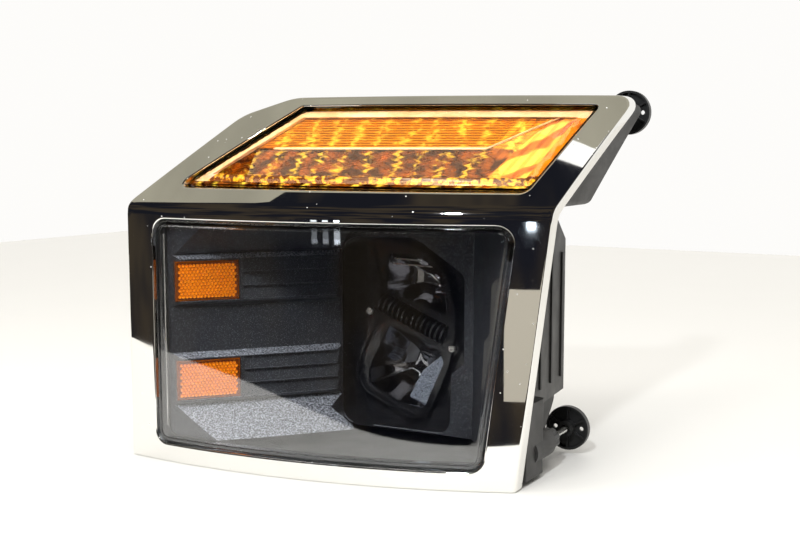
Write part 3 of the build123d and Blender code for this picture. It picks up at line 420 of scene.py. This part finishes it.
class Shell:
    """Points and faces of one piece, built loop by loop."""

    def __init__(self):
        self.points = []
        self.flat = []
        self.faces = []

    def loop(self, shape, inset, depth, **steps):
        """A loop round a shape, at a depth behind the face; depth is a number or a function of (x, z)."""
        start = len(self.points)
        for p in outline(shape, inset, **steps):
            behind = depth(p.x, p.y) if callable(depth) else depth * MM
            self.flat.append((p.x, p.y))
            self.points.append(face_point(p.x, p.y, behind))
        return list(range(start, len(self.points)))

    def join(self, a, b):
        count = len(a)
        self.faces.extend((a[i], a[(i + 1) % count], b[(i + 1) % count], b[i]) for i in range(count))

    def profile(self, shape, steps):
        """Loops through (inset, depth) steps, joined in turn; returns the first and last."""
        loops = [self.loop(shape, inset, depth) for inset, depth in steps]
        for a, b in zip(loops, loops[1:]):
            self.join(a, b)
        return loops[0], loops[-1]

    def fill(self, loops, xs, zs, depth, backward=False):
        """A sheet inside the first loop and outside the others, with a point wherever xs and zs cross."""
        rims = [[self.flat[i] for i in loop] for loop in loops]
        grid = np.array([(x, z) for z in zs for x in xs])
        keep = inside(grid, rims[0])
        for rim in rims[1:]:
            keep &= ~inside(grid, rim)
        grid = grid[keep]
        margin = 0.45 * min(xs[1] - xs[0], max(zs[1] - zs[0], 1.5 * MM))
        rim_points = np.array([p for rim in rims for p in rim])
        near = np.array([np.min(np.sum((rim_points - p) ** 2, axis=1)) for p in grid])
        grid = grid[near > margin**2]
        indices = [i for loop in loops for i in loop]
        start = len(self.points)
        for x, z in grid:
            behind = depth(x, z) if callable(depth) else depth * MM
            self.flat.append((x, z))
            self.points.append(face_point(x, z, behind))
        indices += range(start, len(self.points))
        edges, first = [], 0
        for loop in loops:
            count = len(loop)
            edges += [(first + i, first + (i + 1) % count) for i in range(count)]
            first += count
        flat = [Vector(self.flat[i]) for i in indices]
        _, _, faces, originals, _, _ = delaunay_2d_cdt(flat, edges, [], 1, 1e-7)
        middles = []
        kept = []
        for face in faces:
            corners = [originals[i][0] for i in face]
            kept.append([indices[i] for i in corners])
            middles.append(sum((flat[i] for i in corners), Vector((0, 0))) / len(corners))
        middles = np.array([tuple(m) for m in middles])
        keep = inside(middles, rims[0])
        for rim in rims[1:]:
            keep &= ~inside(middles, rim)
        for face, wanted in zip(kept, keep):
            if wanted:
                self.faces.append(tuple(face[::-1] if backward else face))

    def finish(self, name, material, body, replaced=(), sharp=35.0):
        return make_piece(name, self.points, self.faces, material, body, replaced, sharp)


def make_piece(name, points, faces, material, body, replaced=(), sharp=35.0):
    """A mesh object, smooth except at edges sharper than an angle, riding on a body."""
    mesh = bpy.data.meshes.new(name)
    mesh.from_pydata(points, [], faces)
    work = bmesh.new()
    work.from_mesh(mesh)
    bmesh.ops.recalc_face_normals(work, faces=work.faces)
    work.to_mesh(mesh)
    work.free()
    mesh.shade_smooth()
    mesh.set_sharp_from_angle(angle=radians(sharp))
    mesh.materials.append(material)
    obj = bpy.data.objects.new(name, mesh)
    bpy.context.scene.collection.objects.link(obj)
    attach(obj, body)
    if replaced:
        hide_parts(*replaced)
    return obj


def rounded(radius, steps=5, top=0.0):
    """Quarter-round steps of (inset, depth) from the side of an edge to its face."""
    turns = [pi / 2 * k / steps for k in range(steps + 1)]
    return [(radius * (1 - cos(a)), top + radius * (1 - sin(a))) for a in turns]


def spread(low, high, step):
    return [low + (high - low) * k / ceil((high - low) / step) for k in range(ceil((high - low) / step) + 1)]


# ---- pieces ----

def bezel(materials):
    """Chromed frame with rolled edges, turned back round the outside and into both openings."""
    shell = Shell()
    skin, edge_depth, lip_depth, wall = 3.0, 12.0, 6.5, 2.5
    edge = [(wall, edge_depth), (0.3, edge_depth), (0, edge_depth - 0.3)] + rounded(1.8) + [(2.2, 0)]
    back_edge, front_rim = shell.profile(BEZEL, edge)
    back_rim = shell.loop(BEZEL, wall, skin)
    shell.join(back_edge, back_rim)
    front, back = [front_rim], [back_rim]
    for opening in (MAIN_OPENING, TURN_OPENING):
        lip = [(-inset, depth) for inset, depth in rounded(1.5)]
        inner, rim = shell.profile(opening, [(0, lip_depth)] + lip + [(-1.9, 0)])
        lip_back = shell.loop(opening, -wall, lip_depth)
        hole = shell.loop(opening, -wall, skin)
        shell.join(inner, lip_back)
        shell.join(lip_back, hole)
        front.append(rim)
        back.append(hole)
    xs = spread(-0.195, 0.260, 6 * MM)
    zs = spread(0.0, 0.240, 6 * MM) + spread(0.2445, 0.262, 1.2 * MM) + spread(0.268, 0.366, 6 * MM)
    shell.fill(front, xs, zs, 0.0)
    shell.fill(back, spread(-0.195, 0.260, 12 * MM), zs, skin, backward=True)
    return shell.finish("bezel_frame", materials["chrome_bezel"], "lamp", ["outer_bezel"])


def main_lens(materials):
    """Clear outer lens: flange, wall, a broad rolled shoulder and a shallow groove round the face."""
    shell = Shell()
    g, wall, face = LENS_GAP, 3.0, 1.6
    shoulder = [(g + 3.0 * inset, face + 4.0 * depth) for inset, depth in rounded(1.0, 8)]
    groove = [(g + 4.4, face + 0.05), (g + 4.9, face + 0.5), (g + 5.7, face + 0.5), (g + 6.2, face)]
    flange = [(g + wall, 16), (g - 5, 16), (g - 5, 13), (g - 0.1, 13)]
    first, rim = shell.profile(MAIN_OPENING, flange + shoulder + groove + [(g + 7.4, face)])
    inner = [(g + wall, 9.2), (g + wall + 0.6, 6.4), (g + wall + 2.0, 5.0), (g + wall + 5.0, face + wall)]
    inner_first, inner_rim = shell.profile(MAIN_OPENING, inner)
    shell.join(first, inner_first)
    xs, zs = spread(-0.156, 0.200, 8 * MM), spread(0.018, 0.242, 8 * MM)
    shell.fill([rim], xs, zs, face)
    shell.fill([inner_rim], xs, zs, face + wall, backward=True)
    return shell.finish("main_lens_clear", materials["clear_lens"], "lamp", ["main_lens"])


def edge_distances(shape, x, z):
    """Distance inward from each edge of a shape of straight edges."""
    corners = shape[0]
    result = []
    for (ax, az), (bx, bz) in zip(corners, corners[1:] + corners[:1]):
        length = sqrt((bx - ax) ** 2 + (bz - az) ** 2)
        result.append(((bx - ax) * (z / MM - az) - (bz - az) * (x / MM - ax)) / length)
    return result


def soft_lowest(values, blend):
    """The lowest value, with the meeting of any two rounded over."""
    lowest = values[0]
    for value in values[1:]:
        overlap = max(blend - abs(lowest - value), 0.0) / blend
        lowest = min(lowest, value) - overlap**2 * blend / 4
    return lowest


def turn_face(x, z):
    """Depth of the turn lens: bevelled edge, and upper, lower and end facets that meet in ridges."""
    bottom, right, top, left = edge_distances(TURN_OPENING, x, z)
    planes = [-6 + 1.5 * bottom, -6.2 + 0.44 * right, -6.2 + 0.50 * top, -6.2 + 0.50 * left]
    planes += [-1.9 + 0.045 * top, -4.4 + 0.125 * bottom, -2.6 + 0.048 * right]
    return (1.0 - soft_lowest(planes, 0.22)) * MM


def turn_lens(materials):
    shell = Shell()
    g, wall = LENS_GAP, 2.4
    flange = [(g + wall, 16), (g - 5, 16), (g - 5, 13), (g - 0.1, 13), (g, 12.6), (g, 8.2)]
    first, low_rim = shell.profile(TURN_OPENING, flange)
    rim = shell.loop(TURN_OPENING, g + 0.5, turn_face)
    shell.join(low_rim, rim)
    inner = [shell.loop(TURN_OPENING, g + wall, 13.0), shell.loop(TURN_OPENING, g + wall, 10.0)]
    inner.append(shell.loop(TURN_OPENING, g + wall + 1.5, lambda x, z: turn_face(x, z) + wall * MM))
    shell.join(first, inner[0])
    shell.join(inner[0], inner[1])
    shell.join(inner[1], inner[2])
    shell.fill([rim], spread(-0.142, 0.229, 1.9 * MM), spread(0.2705, 0.352, 1.9 * MM), turn_face)
    shell.fill([inner[2]], spread(-0.142, 0.229, 5 * MM), spread(0.2705, 0.352, 4 * MM),
               lambda x, z: turn_face(x, z) + wall * MM, backward=True)
    return shell.finish("turn_lens_amber", materials["amber_lens"], "lamp", ["turn_lens"], 60.0)


def optic_depth(u, x, z):
    """Depth of the turn signal's optic: fine ribs above, saw-tooth pillows below, fans at the end."""
    bottom, right, top, _ = edge_distances(TURN_OPENING, x, z)
    end = right < 62 - 1.1 * (top - 42) and right < 62
    if end:
        return 9.5 + 2.0 * abs((right / 9.0) % 1.0 - 0.5)
    if z > OPTIC_SPLIT:
        return 9.5 + 0.8 * ((bottom / 2.4) % 1.0)
    wave = abs((u * 14) % 1.0 - 0.5)
    return 9.8 + 1.8 * wave + 1.0 * ((bottom / 3.2 + 2.4 * wave) % 1.0)


def turn_optic(materials):
    """Ribbed amber panel behind the turn lens, with its back."""
    corners = [Vector(c) for c in TURN_OPENING[0]]
    middle = sum(corners, Vector((0, 0))) / 4
    columns, rows = 260, 130
    drawn_in = [c + (middle - c).normalized() * 1.6 * OPTIC_INSET for c in corners]
    left_low, right_low, right_high, left_high = drawn_in
    points, faces = [], []
    for layer in ("front", "back"):
        for j in range(rows + 1):
            for i in range(columns + 1):
                u, v = i / columns, j / rows
                p = left_low.lerp(right_low, u).lerp(left_high.lerp(right_high, u), v) * MM
                depth = optic_depth(u, p.x, p.y) if layer == "front" else OPTIC_BACK
                points.append(face_point(p.x, p.y, depth * MM))
    stride = columns + 1
    first_back = stride * (rows + 1)
    for start in (0, first_back):
        for j in range(rows):
            for i in range(columns):
                a = start + j * stride + i
                faces.append((a, a + 1, a + stride + 1, a + stride))
    border = list(range(stride)) + [j * stride + columns for j in range(1, rows + 1)]
    border += [rows * stride + i for i in range(columns - 1, -1, -1)]
    border += [j * stride for j in range(rows - 1, 0, -1)]
    for a, b in zip(border, border[1:] + border[:1]):
        faces.append((a, b, b + first_back, a + first_back))
    return make_piece("turn_optic_panel", points, faces, materials["amber_optic"], "lamp",
                      ["turn_inner_lens"], 20.0)


def turn_rim(materials):
    """Sloping frame round the turn signal's optic, under the lens's bevel."""
    shell = Shell()
    steps = [(OPTIC_INSET, 9.3), (OPTIC_INSET, 8.3), (11.0, 5.6), (11.8, 5.6), (12.4, 9.3)]
    first, last = shell.profile(TURN_OPENING, steps)
    shell.join(last, first)
    return shell.finish("turn_optic_rim", materials["optic_rim"], "lamp")


def ridge(name, path, width, base, height, material):
    """A bar of triangular section along a path of (x, z) millimetres on the face."""
    points, faces, steps = [], [], []
    for (ax, az), (bx, bz) in zip(path, path[1:]):
        count = ceil(sqrt((bx - ax) ** 2 + (bz - az) ** 2) / 5.0)
        steps += [(ax + (bx - ax) * k / count, az + (bz - az) * k / count) for k in range(count)]
    steps.append(path[-1])
    for x, z in steps:
        for dz, depth in ((-width / 2, base), (0.0, base - height), (width / 2, base)):
            points.append(face_point(x * MM, (z + dz) * MM, depth * MM))
    for k in range(len(steps) - 1):
        for i in range(3):
            a, b = 3 * k + i, 3 * k + (i + 1) % 3
            faces.append((a, b, b + 3, a + 3))
    faces.append((0, 1, 2))
    faces.append(tuple(len(points) - k for k in (1, 2, 3)))
    return make_piece(name, points, faces, material, "lamp", (), 30.0)


def turn_crease(materials):
    # The crease bar's whitish colour is a painted highlight: it stands for the bright line where the lens's
    # facets meet in a ridge
    path = [(-58, 309), (146, 309), (196, 339)]
    return ridge("turn_optic_crease", path, 2.2, 9.4, 1.6, materials["crease_painted_highlight"])


def wall_point(along, proud, z):
    return WALL_START + WALL_ALONG * (along * MM) + WALL_OUT * (proud * MM) + Vector((0, 0, z * MM))


def reflex(name, low, materials):
    """Reflex reflector in two pieces: a bevelled block, and the hexagonal prisms that stand on it."""
    start, length, height, cell = 9.0, 64.0, 40.0, 2.05
    ground, crest, relief = 8.0, 10.7, 1.1
    size = 0.88 * cell
    points, faces = [], []

    def ring(inset, proud):
        base = len(points)
        ends = ((start + inset, low + inset), (start + length - inset, low + inset))
        tops = ((start + length - inset, low + height - inset), (start + inset, low + height - inset))
        points.extend(wall_point(a, proud, z) for a, z in ends + tops)
        return list(range(base, base + 4))

    rings = [ring(0, 3.1), ring(0, 9.6), ring(0.9, 10.7), ring(1.7, 10.7), ring(2.0, ground)]
    for a, b in zip(rings, rings[1:]):
        faces.extend((a[i], a[(i + 1) % 4], b[(i + 1) % 4], b[i]) for i in range(4))
    faces.append(tuple(rings[0][::-1]))
    faces.append(tuple(rings[-1]))
    block = name.replace("prisms", "block")
    make_piece(block, points, faces, materials["reflex_ground"], "lamp")
    points, faces = [], []
    wide, tall = cell * sqrt(3), cell * 1.5
    rows = int((height - 5.2) / tall)
    columns = int((length - 6.2) / wide)
    left = start + (length - (columns - 0.5) * wide) / 2
    bottom = low + (height - (rows - 1) * tall) / 2
    for row in range(rows):
        for column in range(columns):
            along = left + (column + 0.5 * (row % 2)) * wide
            z = bottom + row * tall
            centre = len(points)
            points.append(wall_point(along, crest - 2 * relief, z))
            for k in range(6):
                angle = pi / 6 + k * pi / 3
                proud = crest - (relief if k % 2 else 0.0)
                points.append(wall_point(along + size * cos(angle), proud, z + size * sin(angle)))
            for k in range(1, 7, 2):
                before, after = centre + (k + 4) % 6 + 1, centre + k % 6 + 1
                faces.append((centre, before, centre + k, after))
            foot = len(points)
            for k in range(6):
                angle = pi / 6 + k * pi / 3
                points.append(wall_point(along + size * cos(angle), ground - 0.3, z + size * sin(angle)))
            for k in range(6):
                faces.append((centre + 1 + k, centre + 1 + (k + 1) % 6, foot + (k + 1) % 6, foot + k))
            faces.append(tuple(range(foot, foot + 6)))
    return make_piece(name, points, faces, materials["amber_reflex"], "lamp",
                      [name.replace("_prisms", "")], 10.0)


def bowl(name, shape, focus, flutes, materials, replaced):
    """A lamp module's reflector: smooth mirror facets that run back from its window to a small flat."""
    rim = [Vector((p.x, p.y)) for p in outline(shape, 0.0, 5, 4.0)]
    centre = Vector(focus) * MM
    count, rings = len(rim), 18
    points, faces = [], []
    thickness = 1.4 * MM
    for wall in (0.0, thickness):
        for k in range(rings + 1):
            share = 1.0 - 0.78 * k / rings
            back = BOWL_DEPTH * (1 - share**2.0) * (1 - wall / BOWL_DEPTH)
            for i, p in enumerate(rim):
                angle = 2 * pi * flutes * i / count
                ripple = 1.0 + 0.007 * cos(angle) * min(1.0, 4 * (1 - share))
                at = centre + (p - centre) * share * ripple * (1 + wall / 0.03)
                points.append(Vector((at.x, MODULE_FRONT + back + wall, at.y)))
    layer = count * (rings + 1)
    for start in (0, layer):
        for k in range(rings):
            for i in range(count):
                a, b = start + k * count + i, start + k * count + (i + 1) % count
                faces.append((a, b, b + count, a + count))
        faces.append(tuple(start + rings * count + i for i in range(count)))
    for i in range(count):
        faces.append((i, (i + 1) % count, layer + (i + 1) % count, layer + i))
    silver = materials["reflector_silver"]
    return make_piece(name, points, faces, silver, "lamp", [replaced], 50.0)


def plate(name, front, thickness, material):
    """A flat plate from its front corners (x, y, z), running back by a thickness."""
    count = len(front)
    points = [Vector(c) for c in front] + [Vector(c) + Vector((0, thickness, 0)) for c in front]
    faces = [tuple(range(count)), tuple(range(2 * count - 1, count - 1, -1))]
    faces += [(i, i + count, (i + 1) % count + count, (i + 1) % count) for i in range(count)]
    return make_piece(name, points, faces, material, "lamp")


def module_details(materials):
    """The stippled facet inside the high beam, and two polished slits across the top of the low beam."""
    facet = [(x * MM, MODULE_FRONT + (1.0 + (79.0 - x) * 0.14) * MM, z * MM) for x, z in GLITTER_FACET]
    plate("high_beam_stipple", facet, 1.0 * MM, materials["glitter"])
    for k, (left, right, high) in enumerate(((17, 48, 197.0), (16, 62, 191.5))):
        y = MODULE_FRONT + 2.0 * MM
        corners = [(left * MM, y, high * MM), (right * MM, y, (high - 1.4) * MM),
                   (right * MM, y, (high - 2.5) * MM), (left * MM, y, (high - 1.2) * MM)]
        plate("low_beam_slit_" + str(k + 1), corners, 1.2 * MM, materials["screw_steel"])


def stud(name, node, body, materials):
    """Threaded ball stud: an M6 shank with its thread, a smooth neck and the ball."""
    low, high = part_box(node)
    radius, pitch, sides = 3.0 * MM, 1.0 * MM, 20
    ball = 5.0 * MM
    x, z = (low.x + high.x) / 2, (low.z + high.z) / 2
    centre_y = high.y - ball
    neck = centre_y - ball - 2.0 * MM
    points, faces, loops = [], [], []

    def ring(y, size):
        base = len(points)
        for i in range(sides):
            angle = 2 * pi * i / sides
            groove = size(angle, y) if callable(size) else size
            points.append(Vector((x + groove * cos(angle), y, z + groove * sin(angle))))
        loops.append(list(range(base, base + sides)))

    def thread(angle, y):
        phase = ((y - low.y) / pitch - angle / (2 * pi)) % 1.0
        fade = min(1.0, (y - low.y) / pitch, (neck - y) / pitch)
        return radius - 0.55 * MM * max(fade, 0.0) * abs(2 * phase - 1)

    ring(low.y, radius - 0.7 * MM)
    for y in spread(low.y + 0.4 * MM, neck, pitch / 6):
        ring(y, thread)
    ring(neck + 0.5 * MM, radius)
    steps = 12
    first = -sqrt(1 - (radius / ball) ** 2)
    for k in range(steps):
        height = first + (0.995 - first) * k / (steps - 1)
        ring(centre_y + ball * height, ball * sqrt(max(1 - height**2, 0.0)))
    for a, b in zip(loops, loops[1:]):
        faces.extend((a[i], a[(i + 1) % sides], b[(i + 1) % sides], b[i]) for i in range(sides))
    faces.append(tuple(loops[0]))
    faces.append(tuple(loops[-1]))
    return make_piece(name, points, faces, materials["stud_zinc"], body, [node], 50.0)


def make_pieces(materials):
    bezel(materials)
    main_lens(materials)
    turn_lens(materials)
    turn_optic(materials)
    turn_rim(materials)
    turn_crease(materials)
    reflex("reflex_upper_prisms", 159.0, materials)
    reflex("reflex_lower_prisms", 59.0, materials)
    bowl("low_beam_bowl", LOW_BEAM, (48, 172), 9, materials, "low_beam_reflector")
    bowl("high_beam_bowl", HIGH_BEAM, (38, 84), 7, materials, "high_beam_reflector")
    module_details(materials)
    for side in ("lower", "upper"):
        stud(side + "_stud_threaded", side + "_stud", side + "_stud", materials)
    stud("pivot_stud_threaded", "pivot_stud", "lamp", materials)


# ---- studio ----

def look_at(obj, target):
    obj.rotation_euler = (Vector(target) - obj.location).to_track_quat("-Z", "Y").to_euler()


def softbox(name, at, target, size, watts, colour=(1.0, 1.0, 1.0), reflected=True):
    light = bpy.data.lights.new(name, "AREA")
    light.shape = "RECTANGLE"
    light.size, light.size_y = size
    light.energy = watts
    light.color = colour
    obj = bpy.data.objects.new(name, light)
    obj.location = at
    obj.visible_camera = False
    obj.visible_glossy = reflected
    bpy.context.scene.collection.objects.link(obj)
    look_at(obj, target)
    return obj


def plain(name, colour, roughness=0.6):
    n = Nodes(name)
    n.link(n.mix(n.noise(6.0), colour, tuple(c * 0.985 for c in colour)), "Base Color")
    return n.set(roughness=roughness).material


def flat_stage(name, corners, material, seen=True):
    mesh = bpy.data.meshes.new(name)
    mesh.from_pydata([Vector(c) for c in corners], [], [tuple(range(len(corners)))])
    obj = bpy.data.objects.new(name, mesh)
    mesh.materials.append(material)
    bpy.context.scene.collection.objects.link(obj)
    obj.visible_camera = seen
    return obj


def table_edge(x):
    """How far forward the table reaches at x."""
    middle_x, middle_y = EDGE_MIDDLE
    width = EDGE_WIDTH_RIGHT if x > middle_x else EDGE_WIDTH_LEFT
    return middle_y + EDGE_HALF_STEP * tanh((x - middle_x) / width)


def table():
    """White table: level under the lamp, its curved front edge just ahead of it."""
    front = [(x, table_edge(x), 0.0) for x in reversed(spread(-TABLE_REACH, TABLE_REACH, 0.03))]
    corners = front + [(-TABLE_REACH, TABLE_REACH, 0.0), (TABLE_REACH, TABLE_REACH, 0.0)]
    return flat_stage("table", corners, plain("table_white", (0.78, 0.765, 0.73)))


def room():
    """White for the camera; for reflections a dim room in front and a white wall behind."""
    world = bpy.data.worlds.new("studio")
    world.use_nodes = True
    tree = world.node_tree
    background = tree.nodes["Background"]

    def add(kind, inputs, **settings):
        node = tree.nodes.new("ShaderNode" + kind)
        for key, value in settings.items():
            setattr(node, key, value)
        for key, value in inputs:
            if isinstance(value, bpy.types.NodeSocket):
                tree.links.new(value, node.inputs[key])
            else:
                node.inputs[key].default_value = value
        return node

    def blend(factor, a, b):
        return add("Mix", [(0, factor), (6, a), (7, b)], data_type="RGBA").outputs[2]

    def smooth(value, start, end):
        inputs = [("Value", value), ("From Min", start), ("From Max", end)]
        return add("MapRange", inputs, interpolation_type="SMOOTHSTEP").outputs["Result"]

    where = add("TexCoord", []).outputs["Generated"]
    direction = add("SeparateXYZ", [(0, where)])
    cloud = add("TexNoise", [("Vector", where), ("Scale", 5.0), ("Detail", 3.0)]).outputs["Fac"]
    dark = blend(smooth(cloud, 0.42, 0.62), (0.010, 0.011, 0.016, 1.0), (0.045, 0.036, 0.026, 1.0))
    seen = blend(smooth(direction.outputs["Y"], 0.10, 0.40), dark, (1.0, 0.99, 0.96, 1.0))
    path = add("LightPath", [])
    whole = blend(path.outputs["Is Camera Ray"], seen, (0.985, 0.975, 0.955, 1.0))
    tree.links.new(whole, background.inputs["Color"])
    bpy.context.scene.world = world


def glow(name, colour, strength):
    """Gently uneven light from a surface."""
    n = Nodes(name).set(base_color=(0.0, 0.0, 0.0), emission_strength=strength)
    darker = tuple(c * 0.8 for c in colour)
    patches = n.mix(n.ramp(n.noise(3.0), 0.0, 1.0, 0.35, 0.65), darker, colour)
    return n.link(patches, "Emission Color").material


def reflected_panel(name, corners, colour, strength):
    """A glowing panel that shows in reflections and through glass, but not directly, and lights nothing."""
    obj = flat_stage(name, corners, glow(name + "_glow", colour, strength), seen=False)
    obj.visible_diffuse = False
    obj.visible_shadow = False
    return obj


def window(name, at, width, height, colour, strength):
    """A bright pane facing the lamp."""
    at = Vector(at)
    side = Vector((at.y, -at.x, 0.0)).normalized() * (width / 2)
    rise = Vector((0.0, 0.0, height / 2))
    corners = [at - side - rise, at + side - rise, at + side + rise, at - side + rise]
    return reflected_panel(name, corners, colour, strength)


def canopy():
    """Olive ceiling that the chrome's fold reflects, and a white strip along part of its front edge."""
    front = [(1.6, 0.5), (0.46, 0.13), (-0.12, -0.10), (-0.72, -0.32), (-2.2, -0.6)]
    corners = [(x, y, CANOPY_HEIGHT) for x, y in front]
    corners += [(-2.2, 2.4, CANOPY_HEIGHT), (1.6, 2.4, CANOPY_HEIGHT)]
    reflected_panel("canopy", corners, (0.40, 0.38, 0.30), 1.0)
    strip = [(0.60, 0.15), (0.33, 0.04), (0.33, 0.09), (0.60, 0.20)]
    reflected_panel("canopy_strip", [(x, y, CANOPY_HEIGHT - 0.01) for x, y in strip], (1.0, 1.0, 0.98), 1.3)


def sky():
    """Broad soft light from above and a little ahead, kept out of reflections."""
    light = bpy.data.lights.new("sky", "SUN")
    light.energy = 2.6
    light.angle = radians(70.0)
    light.color = (1.0, 0.99, 0.97)
    obj = bpy.data.objects.new("sky", light)
    obj.location = (0.1, -0.5, 1.6)
    obj.visible_camera = False
    obj.visible_glossy = False
    bpy.context.scene.collection.objects.link(obj)
    look_at(obj, (0, 0, 0))


def studio():
    table()
    room()
    canopy()
    sky()
    softbox("flash", (0.39, -1.0, 0.96), (0.1, -0.1, 0.15), (0.06, 0.06), 9.0, (0.92, 0.96, 1.0))
    softbox("left_fill", (-0.9, -1.2, 0.75), (0, 0, 0.15), (0.5, 0.5), 5.0, (1.0, 0.97, 0.93),
            reflected=False)
    softbox("front_top", (0.1, -1.0, 1.5), (0, 0, 0.1), (0.3, 0.3), 5.0, (1.0, 0.99, 0.97),
            reflected=False)
    window("near_window", (0.97, -1.35, 0.15), 0.05, 0.035, (0.75, 0.86, 1.0), 5.0)
    for k, (along, strength) in enumerate(((-0.02, 1.6), (0.05, 1.6), (0.12, 5.0))):
        name = "far_window_" + str(k + 1)
        window(name, (-0.23 + along, -1.61, 0.140), 0.035, 0.09, (0.85, 0.92, 1.0), strength)
    card = [(0.60, -0.92, -0.13), (1.10, -0.62, -0.13), (1.10, -0.62, 0.068), (0.60, -0.92, 0.068)]
    flat_stage("card", card, plain("card_beige", (0.62, 0.58, 0.50)), seen=False)


def camera():
    data = bpy.data.cameras.new("camera")
    data.lens, data.sensor_width = LENS, SENSOR
    obj = bpy.data.objects.new("camera", data)
    obj.location = CAMERA_AT
    forward = (-sin(CAMERA_TURN) * cos(CAMERA_DIP), cos(CAMERA_TURN) * cos(CAMERA_DIP), -sin(CAMERA_DIP))
    look_at(obj, CAMERA_AT + Vector(forward))
    bpy.context.scene.collection.objects.link(obj)
    bpy.context.scene.camera = obj


bpy.context.scene.view_settings.view_transform = "Standard"
materials = make_materials()
paint_nodes(materials)
make_pieces(materials)
studio()
camera()
